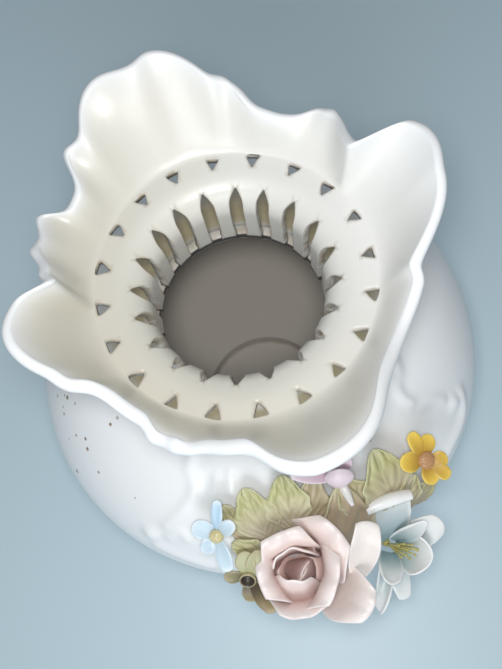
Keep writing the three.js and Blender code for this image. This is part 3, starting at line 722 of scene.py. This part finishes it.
def neckRows():
    # rows from the neck's foot out to the end of the flat ring: radius and height
    # inside, the same outside, half of the slot, half of the hole
    bend, radius, wall = neck["bendRadius"], neck["radius"], neck["wall"]
    bendZ = ringZ - bend
    tipTurn = math.acos((bend - neck["slotTopReach"]) / bend)
    height = bendZ + bend * math.sin(tipTurn) - neckFoot
    foot, full = neck["slotFootWidth"] / 2, neck["slotWidth"] / 2
    rows = []

    def slotHalf(z):
        y = (z - neckFoot) / height
        if y < 0.84:
            return foot + (full - foot) * math.sin(min(1, max(0, y) / 0.3) * math.pi / 2)
        return max(0.3, full * max(0, math.cos((y - 0.84) / 0.16 * math.pi / 2)) ** 0.8)

    def addRow(r, z, turn, half, hole):
        outside = r + wall * math.cos(turn), z - wall * math.sin(turn)
        rows.append(((r, z), outside, half, hole))

    def addBent(turn, isSlot):
        z = bendZ + bend * math.sin(turn)
        addRow(radius + bend * (1 - math.cos(turn)), z, turn, slotHalf(z) if isSlot else 0, 0)

    first, mouth, tongue = radius - 0.4, bowl["mouthRadius"] - 0.3, neck["tongue"]
    rows.append(((first + 0.5, neckFoot - tongue), (mouth, neckFoot - tongue), foot + 0.3, 0))
    rows.append(((first + 0.1, neckFoot - tongue * 0.6), (mouth, neckFoot - 0.05), foot, 0))
    for z in np.linspace(neckFoot, bendZ, 8):
        share = (z - neckFoot) / (bendZ - neckFoot)
        addRow(radius - 0.4 * (1 - share), z, 0, slotHalf(z), 0)
    for turn in [*np.linspace(0, tipTurn * 0.8, 8)[1:],
                 *np.linspace(tipTurn * 0.8, tipTurn, 5)[1:]]:
        addBent(turn, True)
    slotRows = len(rows) - 1
    for turn in np.linspace(tipTurn, math.pi / 2, 4)[1:]:
        addBent(turn, False)
    holeStart = len(rows)
    for share, half in neck["holeRows"]:
        addRow(flatEnd - neck["holeLength"] * (1 - share), ringZ, math.pi / 2, 0,
               half * neck["holeWidth"] / 2)
    return rows, slotRows, holeStart, len(rows) - 1


flareShares = np.array([
    0.03, 0.08, 0.15, 0.23, 0.31, 0.39, 0.47, 0.55, 0.63, 0.71, 0.79, 0.86, 0.92, 0.965, 1.0])
lipTurns = np.array([75, 50, 25, 0, -25, -50, -75])


def makeSector():
    # one bar's width of the wall, from the middle of a slot to the middle of the next;
    # "share" tells the flared rows from the neck's (-1) and "side" the inside (0) from
    # the outside (1) and the rows of the lip (2 and over)
    rows, slotRows, holeStart, holeEnd = neckRows()
    pitch = math.radians(360 / neck["bars"])
    attributes = {"share": [], "side": [], "grimeAndShade": [], "seam": []}
    points, faces = [], []
    width = 13

    def columns(radius, slotHalf, holeHalf):
        slot = slotHalf / radius if slotHalf else pitch * 0.13
        hole = holeHalf / radius if holeHalf else pitch * 0.11
        half = [0, slot / 2, *np.linspace(slot, pitch / 2 - hole, 4), pitch / 2]
        return half + [pitch - a for a in reversed(half[:-1])]

    def addRow(r, z, cols, share, side, dirtAndShade=np.zeros(width), seam=0.0):
        for k, a in enumerate(cols):
            points.append((r * math.cos(a), r * math.sin(a), z))
            for label, value in zip(attributes, (share, side, dirtAndShade[k], seam)):
                attributes[label].append(value)

    plainColumns = columns(flatEnd, 0, 0)
    for outer in (0, 1):
        for n, row in enumerate(rows):
            # grime and painted shade on the slots' and holes' edges; the outside, in the flare's
            # shade, gets more painted shade
            dirtAndShade = np.zeros(width)
            if n <= slotRows:
                dirtAndShade[[2, 10]] = neck["slotGrimeShade"]
                dirtAndShade[[3, 9]] = 0 if n > 3 else neck["footGrimeShade"]
            if holeStart <= n <= holeEnd:
                dirtAndShade[[5, 7]] = neck["holeGrimeShade"]
                if n in (holeStart, holeEnd):
                    dirtAndShade[6] = neck["tipGrimeShade"]
            if outer:
                dirtAndShade = dirtAndShade * neck["grimeShadeOutside"] + neck["shadeOnOutside"]
            # the rows at the bars' feet carry the painted shadow of the gap above the bowl's mouth
            addRow(*row[outer], columns(row[0][0], *row[2:]), -1, outer, dirtAndShade,
                   (1 - 0.5 * outer) * (n < 3))
        # painted shade under the flare near the neck
        for s in flareShares:
            addRow(flatEnd + 20 * s, ringZ - neck["wall"] * outer + 20 * s, plainColumns, s,
                   outer, np.full(width, outer * max(0, 0.3 - s)))
    perSide = len(rows) + len(flareShares)
    for t in range(len(lipTurns)):
        addRow(flatEnd + 24, ringZ + 20 - 4 * t, plainColumns, 1, 2 + t)

    def at(row, col):
        return row * width + col

    def isOpen(row, col):
        inSlot = row < slotRows and (col < 2 or col > 9)
        return inSlot or (holeStart <= row < holeEnd and col in (5, 6))

    def wallBetween(a, b):
        faces.append((a, b, b + perSide * width, a + perSide * width))

    for row in range(perSide - 1):
        for col in range(width - 1):
            a, b, c, d = at(row, col), at(row, col + 1), at(row + 1, col + 1), at(row + 1, col)
            if not isOpen(row, col):
                faces.append((a, b, c, d))
                faces.append([corner + perSide * width for corner in (a, d, c, b)])
                continue
            for nextRow, nextCol, start, end in (
                    (row, col + 1, b, c), (row, col - 1, a, d),
                    (row + 1, col, d, c), (row - 1, col, a, b)):
                within = nextRow >= 0 and 0 <= nextCol < width - 1
                if within and not isOpen(nextRow, nextCol):
                    wallBetween(start, end)
    for col in range(width - 1):
        if not isOpen(0, col):
            wallBetween(at(0, col), at(0, col + 1))
    ring = [perSide - 1, *range(2 * perSide, 2 * perSide + len(lipTurns)), 2 * perSide - 1]
    faces += quads(np.array(ring)[:, None] * width + np.arange(width)).tolist()
    return points, faces, attributes


def makeSectorRing():
    # turns copies of one sector round the axis and welds them into a ring
    tree, given, out = newShapeTree("sectorRing", [
        ("Bars", "Int", 20), ("First Angle", "Float", 0.0), ("Weld", "Float", 0.00002)])
    spots = addNode(tree, "GeometryNodePoints", Count=given["Bars"]).outputs[0]
    number = addNode(tree, "GeometryNodeInputIndex").outputs[0]
    pitch = mathNode(tree, "DIVIDE", 2 * math.pi, given["Bars"])
    turn = plus(tree, times(tree, number, pitch), given["First Angle"])
    spin = addNode(tree, "ShaderNodeCombineXYZ", Z=turn).outputs[0]
    whole = joined(tree, onPoints(tree, spots, given["Geometry"], Rotation=spin))
    welded = addNode(tree, "GeometryNodeMergeByDistance", Geometry=whole, Distance=given["Weld"])
    return closeShapeTree(tree, welded.outputs[0], given["Glaze"], out)


def flareSection(angle, share, side):
    # radius and height of a flared row's point; the wall is offset along the line's
    # normal, and the lip is a bead round the middle of the wall's end
    wander = np.sin(np.radians(7 * angle)) * np.sin(np.radians(3 * angle + 40))
    wander = 0.92 + rim["lipWander"] * wander
    thicker = rim["lipFront"] * np.clip(-1.6 * np.sin(np.radians(angle)) - 0.3, 0, 1)
    bead = rim["lipRadius"] * wander + thicker
    for knob in rim["knobs"]:
        off = angleOff(angle, knob)
        bead = bead + rim["knobRise"] * np.exp(-(off / rim["knobSpread"]) ** 2)
    edge = rimRadius(angle) + rim["lipOut"] - rim["lipRadius"]
    rise = (rimHeight(angle) - ringZ) / climbed(edge, angle)

    def inside(s):
        r = flatEnd + (edge - flatEnd) * s
        return r, ringZ + rise * climbed(r, angle)

    def outside(s):
        (r, z), (r0, z0), (r1, z1) = inside(s), inside(s - 0.02), inside(s + 0.02)
        wall = neck["wall"] + (rim["wall"] - neck["wall"]) * s
        wall = wall / np.hypot(r1 - r0, z1 - z0)
        return r + wall * (z1 - z0), z - wall * (r1 - r0)

    one = np.ones_like(share)
    (endR, endZ), (farR, farZ) = inside(one), outside(one)
    upright = np.arctan2(endZ - farZ, endR - farR)
    turn = np.radians(lipTurns[np.clip(side - 2, 0, len(lipTurns) - 1).astype(int)])
    lipR = (endR + farR) / 2 + bead * np.cos(upright - math.pi / 2 + turn)
    lipZ = (endZ + farZ) / 2 - thicker + bead * np.sin(upright - math.pi / 2 + turn)
    return [np.where(side >= 2, lip, np.where(side == 1, outer, inner)) for lip, outer, inner
            in zip((lipR, lipZ), outside(share), inside(share))]


def unevenCut(place):
    # turns and shifts each hole, and leans the slots' tips, as if cut by hand
    chance = np.random.default_rng(neck["seed"])
    holeRadius = neck["holeRadius"]
    x, y, z = place.T
    radius, angle = np.hypot(x, y), np.arctan2(y, x)
    pitch = 2 * math.pi / neck["bars"]
    for n in range(neck["bars"]):
        turn = math.radians(chance.uniform(-1, 1) * neck["holeTurn"])
        shift = chance.uniform(-1, 1, 2) * neck["holeShift"]
        size = chance.uniform(1 - neck["holeSize"], 1 + neck["holeSize"])
        off = angleOff(angle, math.radians(neck["firstHole"]) + n * pitch, 2 * math.pi)
        x, y = radius - holeRadius, off * holeRadius
        near = np.exp(-((x * x + y * y) / neck["cutReach"] ** 2) ** 2)
        near *= radius > neck["radius"] + neck["slotTopReach"] + 4
        newX = size * (x * math.cos(turn) - y * math.sin(turn)) + shift[0]
        newY = size * (x * math.sin(turn) + y * math.cos(turn)) + shift[1]
        radius = radius + (newX - x) * near
        angle = angle + (newY - y) * near / holeRadius
        off = angleOff(angle, math.radians(neck["firstSlot"]) + n * pitch, 2 * math.pi)
        inBend = np.clip((z - neckFoot) / (ringZ - neckFoot), 0, 1) * (radius < holeRadius - 5)
        window = np.cos(np.clip(off / pitch, -0.5, 0.5) * math.pi) ** 2
        lean = chance.uniform(-1, 1) * neck["tipShift"] / neck["radius"]
        angle = angle + lean * inBend * window
    return np.stack([radius * np.cos(angle), radius * np.sin(angle), z], axis=-1)


def readValues(values, label, count):
    read = np.empty(count, dtype=np.float32)
    values.foreach_get(label, read)
    return read


def makeRim(material):
    obj = newObject("vaseRim", *makeSector())
    runShapeTree(obj, makeSectorRing(), Bars=neck["bars"], Glaze=material,
                 First_Angle=math.radians(neck["firstSlot"]))
    mesh = obj.data
    count = len(mesh.vertices)
    place = readValues(mesh.vertices, "co", count * 3).reshape(-1, 3).astype(float) / mm
    share, side = [readValues(mesh.attributes[label].data, "value", count) for label in (
        "share", "side")]
    angle = np.arctan2(place[:, 1], place[:, 0])
    flared, share = share >= 0, np.clip(share, 0, 1)
    r, z = flareSection(np.degrees(angle), share, np.round(side))
    swept = np.stack([r * np.cos(angle), r * np.sin(angle), z], axis=-1)
    place = np.where(flared[:, None], swept, unevenCut(place))
    mesh.vertices.foreach_set("co", (place * mm).astype(np.float32).ravel())
    inside = (side < 0.5) * np.where(flared, 1 - rim["lipLoss"] * share ** 6, 1)
    # warm cream tint inside, with painted shade growing towards the front and the left and fading
    # at the lip
    toFront = np.clip(-place[:, 1] / rim["frontReach"], 0, 1) ** 2
    toLeft = np.clip(0.5 - place[:, 0] / rim["leftReach"], 0, 1)
    warmthAndShade = rim["warmthAndShade"] + rim["shadeFront"] * toFront + rim["shadeLeft"] * toLeft
    # stain and painted shade on the flare's underside near the neck
    stainAndShade = (side == 1) * np.clip(rim["stainShadeEnd"] - share, 0, 1) * rim["stainAndShade"]
    pitted = inside * np.clip(-place[:, 0] / rim["pittedReach"], 0, 1) * rim["pitted"]
    for label, values in {
            "warmthAndShade": inside * warmthAndShade, "stainAndShade": stainAndShade, "pitted": pitted}.items():
        addAttribute(mesh, label, values)
    roundOff(obj)
    finishPiece(obj, material, "white_porcelain", "pierced_rim")
    print("rim done,", len(obj.data.polygons), "faces")


# a petal or leaf is a thin curved sheet, given as a row of these sizes and turns
petalSizes = ("turn", "ring", "lift", "length", "foot", "belly", "tip", "lean", "droop", "roll",
              "cup", "cupTip")
plainPetal = {
    "round": 0.45, "wave": 0, "waves": 2, "phase": 0, "twist": 0, "frill": 0, "frills": 5,
    "draped": False, "tint": 0,
}
petalThickness = {"foot": 2.2, "edge": 1.0}
sheetRows = np.array([0, 0.03, 0.08, *np.linspace(0.15, 0.85, 11), 0.91, 0.95, 0.98, 1])
sheetColumns = np.array([
    -1, -0.985, -0.95, -0.88, *np.linspace(-0.77, 0.77, 11), 0.88, 0.95, 0.985, 1])


def halfWidth(petal, u):
    past = u - 0.6
    plain = petal["foot"] * past * (u - 1) / 0.6
    plain = plain + petal["belly"] * u * (u - 1) / -0.24 + petal["tip"] * u * past / 0.4
    return 0.5 * plain * (1 + petal["frill"] * u * np.sin(petal["frills"] * 2 * math.pi * u))


def sheetPoint(petal, u, v):
    half = halfWidth(petal, u)
    reach = petal["length"] * u - petal["round"] * half * (v * u) ** 2
    parts = 12
    along = up = 0
    for k in range(parts):
        s = (k + 0.5) / parts * u
        rolled = petal["roll"] * np.maximum(0, (s - 0.6) / 0.4) ** 2
        angle = np.radians(petal["lean"] - petal["droop"] * s - rolled)
        along = along + np.cos(angle) * reach / parts
        up = up + np.sin(angle) * reach / parts
    # a sheet can't be cupped more tightly than its thickness allows
    tightest = 1.3 * petalThickness["foot"]
    cup = np.radians(petal["cup"] * (1 - u) + petal["cupTip"] * u)
    cup = 1e-3 + np.minimum(cup, half / tightest)
    across = half / cup * np.sin(cup * v)
    wave = petal["wave"] * np.sin(petal["waves"] * math.pi * v + petal["phase"])
    inward = half / cup * (1 - np.cos(cup * v)) + wave * half * u * u
    spin = np.radians(petal["twist"] * u)
    side = across * np.cos(spin) - inward * np.sin(spin)
    normal = across * np.sin(spin) + inward * np.cos(spin)
    return np.stack([petal["ring"] + along - normal * np.sin(angle), side,
                     petal["lift"] + up + normal * np.cos(angle)], axis=-1)


def towards(turn, climb):
    a, c = math.radians(turn), math.radians(climb)
    return Vector((math.cos(c) * math.cos(a), math.cos(c) * math.sin(a), math.sin(c)))


def flowerFrame(azimuth, slope, climb, lift=0):
    # Z is where the flower faces, X runs level round the vase, Y up the vase
    z, x = towards(azimuth, climb), towards(azimuth + 90, 0)
    turned = Matrix((x, z.cross(x), z)).transposed().to_4x4()
    return Matrix.Translation(onBowl(azimuth, slope) + z * lift) @ turned


def placed(points, matrix):
    turned = np.array(matrix)
    return points @ turned[:3, :3].T + turned[:3, 3]


def draped(points, matrix):
    # lays a flat leaf on the bowl: a point's height becomes its height over the bowl
    centre = np.array([0, 0, bowl["widest"]])
    ray = placed(points * [1, 1, 0], matrix) - centre
    axes = np.full(ray.shape, bowl["radius"])
    axes[:, 2] = np.where(ray[:, 2] > 0, bowl["rise"], bowl["drop"])
    ray = ray / np.linalg.norm(ray / axes, axis=1, keepdims=True)
    return centre + ray + unit(ray / axes ** 2) * points[:, 2:]


def addPetal(name, matrix, row, material, slot, node=None, **more):
    # a row may end with a dictionary of what the petal has besides its sizes
    petal = {**plainPetal, **more, **dict(zip(petalSizes, row))}
    for besides in row[len(petalSizes):]:
        petal.update(besides)
    u, v = np.meshgrid(sheetRows, sheetColumns, indexing="ij")
    step = 0.01
    du = sheetPoint(petal, u + step, v) - sheetPoint(petal, u - step, v)
    dv = sheetPoint(petal, u, v + step) - sheetPoint(petal, u, v - step)
    body = np.maximum(0, 1 - np.maximum(u, np.abs(v)) ** 2)
    edge = petalThickness["edge"]
    thick = edge + (petalThickness["foot"] - edge) * body
    border = np.minimum((1 - np.abs(v)) * halfWidth(petal, u),
                        np.minimum(u, 1 - u) * petal["length"])
    thick = thick * np.sqrt(1 - (1 - np.clip(border / (thick * 0.6), 0, 1)) ** 2)
    middle = sheetPoint(petal, u, v)
    normal = unit(np.cross(du, dv)) * thick[..., None] / 2
    # the two faces share the points of the edge
    inner = np.zeros(u.shape, dtype=bool)
    inner[1:-1, 1:-1] = True
    front = np.arange(u.size).reshape(u.shape)
    back = front.copy()
    back[inner] = u.size + np.arange(inner.sum())
    vertices = np.vstack([(middle + normal).reshape(-1, 3), (middle - normal)[inner]])
    uv = np.stack([u, v / 2 + 0.5], axis=-1)
    inside = np.append(np.where(inner, 1, 0.5).ravel(), np.zeros(inner.sum()))
    lay = draped if petal["draped"] else placed
    turned = matrix @ Matrix.Rotation(math.radians(petal["turn"]), 4, "Z")
    obj = newObject(
        "p_" + name, lay(vertices, turned), [*quads(front), *quads(back)[:, ::-1]],
        {"inside": inside, "tint": np.full(len(vertices), petal["tint"])},
        np.vstack([uv.reshape(-1, 2), uv[inner]]))
    roundOff(obj)
    finishPiece(obj, material, slot, node or name)


def turnedObject(name, matrix, profile, topU=1.0, around=40):
    # a turned piece in a flower's frame; its profile is rounded by subdivision
    vertices, faces = turnedMesh(profile, around)
    rings = len(profile) - 2
    u = np.append(np.repeat(topU * np.arange(1, rings + 1) / rings, around), [0, topU])
    above = vertices[:, 2] > max(profile[1:-1])[1] - 0.01
    obj = newObject("p_" + name, placed(vertices, matrix), faces,
                    {"inside": above, "tint": u > 0.8}, np.stack([u, u * 0 + 0.5], axis=-1))
    roundOff(obj)
    return obj


rose = {
    "place": {"azimuth": -95.2, "slope": 10, "climb": 86, "lift": 14},
    "heart": [(0, -17), (7, -17), (15.5, -5), (16.4, -1), (9.2, 1), (5.4, 0.4), (3.6, -7),
              (0, -10)],
    "heartU": 0.2,
    # the small petals furled at the heart, from the inmost outwards
    "furled": [
        (150, 5.6, 1, 26, 11, 17, 13, 112, 4, 0, 80, 50, {"tint": 0.7}),
        (-48, 8.8, 1, 24, 12, 20, 9, 98, -8, 0, 70, 56, {"tint": 0.2}),
        (82, 10.8, 1, 25, 13, 22, 16, 94, 30, 30, 62, 48),
    ],
    "petals": {
        "inner_back": (100, 9, 0, 29, 16, 30, 20, 92, 6, 0, 62, 58),
        "inner_low": (-104, 16, 0, 32, 14, 27, 17, 103, -18, 0, 60, 56),
        "inner_right": (-25, 14, 0, 37, 15, 34, 22, 94, 4, 100, 50, 34),
        "left": (188, 11, 0, 34, 15, 28, 15, 94, 6, 110, 50, 34),
        "back": (101, 10, 0, 37, 15, 31, 19, 90, 2, 120, 45, 30),
        "low": (-90, 11, 0, 30, 16, 32, 22, 82, 8, 60, 46, 34),
        "back_right": (33, 14, 0, 39, 16, 38, 18, 86, 10, 100, 40, 16),
        "low_right": (-36, 17, -2, 34, 14, 26, 15, 68, 22, 60, 36, 16, {"tint": 0.6}),
    },
    "asidePlace": {"azimuth": -82.3, "slope": 12, "climb": 66, "lift": 24},
    "aside": (62, -2, 0, 31, 8, 15, 11, 34, 10, 70, 50, 30, {"tint": 0.85}),
    "wave": 0.05, "waves": 2.4, "phaseStep": 1.7,
}


def makeRose(glazes):
    matrix = flowerFrame(**rose["place"])
    heart = turnedObject("rose_heart", matrix, rose["heart"], rose["heartU"])
    finishPiece(heart, glazes["roseHeart"], "rose_heart_pink", "rose_heart")
    for n, row in enumerate(rose["furled"]):
        addPetal(f"rose_heart_{n + 1}", matrix, row, glazes["roseHeart"], "rose_heart_pink",
                 "rose_heart")
    for n, (name, row) in enumerate(rose["petals"].items()):
        addPetal("rose_petal_" + name, matrix, row, glazes["rosePetal"], "rose_pink",
                 wave=rose["wave"], waves=rose["waves"], phase=rose["phaseStep"] * n)
    addPetal("rose_petal_right", flowerFrame(**rose["asidePlace"]), rose["aside"],
             glazes["rosePetal"], "rose_pink")
    print("rose done")


lily = {
    "place": {"azimuth": -72.7, "slope": -2.7, "climb": 62, "lift": 14},
    "petals": {
        "top": (75, 4, -4, 46.7, 10, 23, 22, 64, 80, -260, 40, 6, {"round": 0.15}),
        "top_right": (0, 4, -3, 25.5, 7, 16, 11, 34, 10, 30, 30, -6),
        "middle": (33, 4, -2, 29, 6, 11, 3, 58, 8, 0, 40, 30),
        "right": (-38, 3, -4, 21, 10, 24, 20, 34, -30, 0, 50, 56),
        "low_right": (-105, 4, -5, 25, 7, 10, 6, 18, 20, 30, 30, 10),
        "low": (-134, 3, -3, 17.5, 8, 13, 9, 52, 20, -40, 20, 40),
        "low_left": (-134, 5, -5, 29, 6, 9, 7, 40, 40, 60, 50, 60, {"twist": 60}),
    },
}
stamens = {
    "base": [(0, -16), (2.2, -16), (2.2, -9), (1.6, -6.4), (0, -6)], "root": -6,
    # direction, lean over the lily's plane, length
    "filaments": [
        (-8, 58, 15.5), (-24, 54, 17), (-40, 57, 16.5), (-58, 60, 15), (12, 66, 13.5),
        (-16, 69, 15), (-48, 70, 14), (-32, 46, 16), (30, 74, 12), (-75, 69, 12)],
    "thickness": 0.5, "tip": 0.72,
}


def makeFilamentTree():
    # a rod with a rounded tip on every point, along the point's own direction
    tree, given, out = newShapeTree("filaments", [
        ("Thickness", "Float", 0.0008), ("Tip", "Float", 0.0012)])
    ahead = addNode(tree, "GeometryNodeInputNamedAttribute", {"data_type": "FLOAT_VECTOR"},
                    Name="ahead").outputs[0]
    length = addNode(tree, "ShaderNodeVectorMath", {"operation": "LENGTH"}, _0=ahead)
    turn = addNode(tree, "FunctionNodeAlignRotationToVector", {"axis": "Z"}, Vector=ahead)
    tall = addNode(tree, "ShaderNodeCombineXYZ", _0=1.0, _1=1.0, _2=length.outputs["Value"])
    rod = addNode(tree, "GeometryNodeMeshCone", Vertices=10, Side_Segments=4, Depth=1.0,
                  Radius_Bottom=given["Thickness"],
                  Radius_Top=times(tree, given["Thickness"], 0.8))
    rods = onPoints(tree, given["Geometry"], rod.outputs["Mesh"], Rotation=turn.outputs[0],
                    Scale=tall.outputs[0])
    ball = addNode(tree, "GeometryNodeMeshIcoSphere", Radius=given["Tip"], Subdivisions=2)
    moved = addNode(tree, "GeometryNodeSetPosition", Geometry=given["Geometry"], Offset=ahead)
    balls = onPoints(tree, moved.outputs[0], ball.outputs[0])
    return closeShapeTree(tree, joined(tree, rods, balls), given["Glaze"], out)


def makeStamens(matrix, material):
    base = turnedObject("lily_stamens", matrix, stamens["base"])
    finishPiece(base, material, "stamen_yellow", "lily_stamens")
    middle = matrix @ Vector((0, 0, stamens["root"]))
    obj = newObject("p_lily_filaments", [middle for _ in stamens["filaments"]], [], {})
    ahead = obj.data.attributes.new("ahead", "FLOAT_VECTOR", "POINT")
    for n, (turn, lean, length) in enumerate(stamens["filaments"]):
        ahead.data[n].vector = (matrix.to_3x3() @ towards(turn, lean)) * length * mm
    runShapeTree(obj, makeFilamentTree(), Thickness=stamens["thickness"] * mm,
                 Tip=stamens["tip"] * mm, Glaze=material)
    finishPiece(obj, material, "stamen_yellow", "lily_stamens")


def makeLily(glazes):
    matrix = flowerFrame(**lily["place"])
    for name, row in lily["petals"].items():
        addPetal("lily_petal_" + name, matrix, row, glazes["whiteLily"], "lily_white")
    makeStamens(matrix, glazes["stamen"])
    print("lily done")


smallFlowers = {
    # place, radius of the button, then direction, length, width, lean and tint of each petal
    "yellow_daisy": {
        "place": {"azimuth": -55.5, "slope": 43, "climb": 64, "lift": 14}, "button": 4.4,
        "petals": [
            (78, 14, 7.5, 28, 0), (43, 10, 8.5, 28, 0), (-49, 8, 9, 28, 0.4),
            (-84, 11, 7.5, 28, 0.3), (-125, 9, 9, 28, 0), (134, 12, 10, 28, 0)],
        "glaze": "goldenPetal", "slot": "daisy_yellow",
        "middle": "orangeCentre", "middleSlot": "daisy_orange"},
    "blue_flower": {
        "place": {"azimuth": -113.3, "slope": 46, "climb": 66, "lift": 12}, "button": 3.4,
        "petals": [
            (92, 16, 5.5, 26, 0.7), (158, 10.5, 9.5, 26, 0.1), (47, 10, 7.5, 34, 0),
            (-124, 8, 7.5, 26, 0.2), (-64, 15, 7.5, 20, 0.15)],
        "glaze": "skyPetal", "slot": "flower_blue",
        "middle": "mustardCentre", "middleSlot": "centre_mustard"},
    "ochre_flower": {
        "place": {"azimuth": -106.3, "slope": 28.3, "climb": 44, "lift": 11}, "button": 4.2,
        "petals": [
            (165, 9, 8, 24, 0.3), (-84, 10.5, 8, 24, 0), (-50, 18, 9, 34, 0),
            (94, 12, 10, 4, 1), (64, 14, 10, 4, 1), (-26, 10, 9, 20, 0.1)],
        "glaze": "ochrePetal", "slot": "ochre_brown",
        "middle": "ochreHole", "middleSlot": "ochre_brown", "hollow": True},
}
# a button above its root: shares of its radius, and heights
buttonProfiles = {
    "full": [(0.7, -1), (1, 1), (0.8, 3), (0, 4)],
    "hollow": [(0.7, -1), (1, 1.6), (0.92, 3.2), (0.72, 3.0), (0.5, 0.4), (0, -0.4)],
}
grains = {"size": 0.42, "spacing": 0.75, "seed": 3}
# foot and tip are shares of the petal's width
smallPetal = {"foot": 0.45, "tip": 0.7, "droop": 20, "cup": 30, "cupTip": 25}


def makeGrainTree():
    # small grains scattered over a flower's button
    tree, given, out = newShapeTree("buttonGrains", [
        ("Size", "Float", 0.0004), ("Spacing", "Float", 0.0008), ("Seed", "Int", 1)])
    spots = addNode(tree, "GeometryNodeDistributePointsOnFaces",
                    {"distribute_method": "POISSON"}, Mesh=given["Geometry"],
                    Distance_Min=given["Spacing"], Density_Max=4e6, Seed=given["Seed"])
    grain = addNode(tree, "GeometryNodeMeshIcoSphere", Radius=given["Size"], Subdivisions=1)
    copies = onPoints(tree, spots.outputs[0], grain.outputs[0])
    whole = joined(tree, copies, given["Geometry"])
    return closeShapeTree(tree, whole, given["Glaze"], out)


def makeSmallFlowers(glazes):
    grainTree = makeGrainTree()
    for name, flower in smallFlowers.items():
        matrix, button = flowerFrame(**flower["place"]), flower["button"]
        petalPaint, middlePaint = glazes[flower["glaze"]], glazes[flower["middle"]]
        isHollow = "hollow" in flower
        depth = flower["place"]["lift"] + 4
        profile = [(0, -depth), (button * 0.6, -depth)]
        profile += [(button * r, z) for r, z in buttonProfiles["hollow" if isHollow else "full"]]
        middle = turnedObject(name + "_centre", matrix, profile)
        if not isHollow:
            runShapeTree(middle, grainTree, Size=grains["size"] * mm,
                         Spacing=grains["spacing"] * mm, Seed=grains["seed"], Glaze=middlePaint)
        finishPiece(middle, middlePaint, flower["middleSlot"], name + "_centre")
        for n, (turn, length, width, lean, tint) in enumerate(flower["petals"]):
            row = (turn, button * 0.6, 0, length, width * smallPetal["foot"], width,
                   width * smallPetal["tip"], lean, smallPetal["droop"], 0,
                   smallPetal["cup"], smallPetal["cupTip"])
            addPetal(f"{name}_petal_{n + 1}", matrix, row, petalPaint, flower["slot"], tint=tint)
    print("small flowers done")


bud = {
    "place": {"azimuth": -76.8, "slope": 55.7, "climb": 74, "lift": 6},
    "heart": [(0, -11), (3.4, -11), (4, -3), (3.4, 1), (2, 2.6), (0, 3)],
    "heartU": 0.5,
    "petals": {
        "bud_petal_top": (72, 3, 0, 12, 9, 14, 11, 70, 30, 60, 40, 10),
        "bud_petal_left": (148, 2, 0, 20, 5, 8, 5, 14, 10, 0, 25, 10),
        "bud_petal_front": (-115, 4.5, 0, 13, 8, 14, 10, 92, -85, 0, 45, 30),
        "bud_sepal": (-93, 3, 0, 12, 3.5, 3.4, 1.6, 24, 44, 0, 15, 10, {"tint": 1.0}),
    },
}


def makeBud(glazes):
    matrix = flowerFrame(**bud["place"])
    heart = turnedObject("bud_heart", matrix, bud["heart"], bud["heartU"])
    finishPiece(heart, glazes["pinkBud"], "bud_pink", "bud_heart")
    for name, row in bud["petals"].items():
        addPetal(name, matrix, row, glazes["pinkBud"], "bud_pink")
    print("bud done")


leaves = {
    # azimuth, slope, direction, length, width, tint towards brown olive, lift over the lowest
    "leaf_middle_right": (-87.0, 52.2, 72, 27, 17, 0.75, 0.6),
    "leaf_middle": (-93.7, 54.6, 89, 28, 20, 0.0, 1.6),
    "leaf_left_tall": (-103.1, 52.5, 107, 29, 20, 0.05, 1.2),
    "leaf_curled": (-75.5, 49.5, 105, 24, 17, 0.45, 1.8),
    "leaf_right_tall": (-65.8, 47.3, 80, 34, 25, 0.15, 1.2),
    "leaf_broad": (-80.3, 41.4, 79, 42, 27, 0.95, 0.0),
    "leaf_right": (-63.4, 34.6, 50, 24, 16, 0.5, 0.4),
    "leaf_far_right": (-58.9, 27.7, 10, 17, 14, 0.3, 0.2),
    "leaf_left": (-105.2, 39.9, 148, 20, 14, 0.2, 1.4),
    "leaf_narrow": (-107.3, 48.3, 125, 29, 12, 0.5, 0.3),
}
# foot is a share of the leaf's width, rise its height over the bowl
leafShape = {"foot": 0.35, "tip": 4, "rise": 1.6, "lean": 6, "droop": -4, "cup": 18}
leafEdge = {"wave": 0.13, "waves": 3.4, "frill": 0.14, "frills": 3.5}


def makeLeaves(glazes):
    for name, (azimuth, slope, turn, length, width, tint, lift) in leaves.items():
        row = (turn, -length / 2, seatGap + leafShape["rise"] + lift, length,
               width * leafShape["foot"], width, leafShape["tip"], leafShape["lean"],
               leafShape["droop"], 0, leafShape["cup"], leafShape["cup"])
        addPetal(name, flowerFrame(azimuth, slope, slope), row, glazes["sageLeaf"],
                 "leaf_green", draped=True, tint=tint, phase=turn, **leafEdge)
    print("leaves done")


bpy.context.scene.view_settings.view_transform = "Standard"
addCamera()
addStudio()
makeGlazeWash()
makePinholes()
makeUnevenGlaze()
makeGrimeAndShade()
white = makePorcelain()
glazes = {name: makeFlowerGlaze(name, tones, veins["leafDepth"] if name == "sageLeaf" else 0)
          for name, tones in flowerGlazes.items()}
print("glazes done")
makeBowl(white)
makeRim(white)
makeRose(glazes)
makeLily(glazes)
makeSmallFlowers(glazes)
makeBud(glazes)
makeLeaves(glazes)
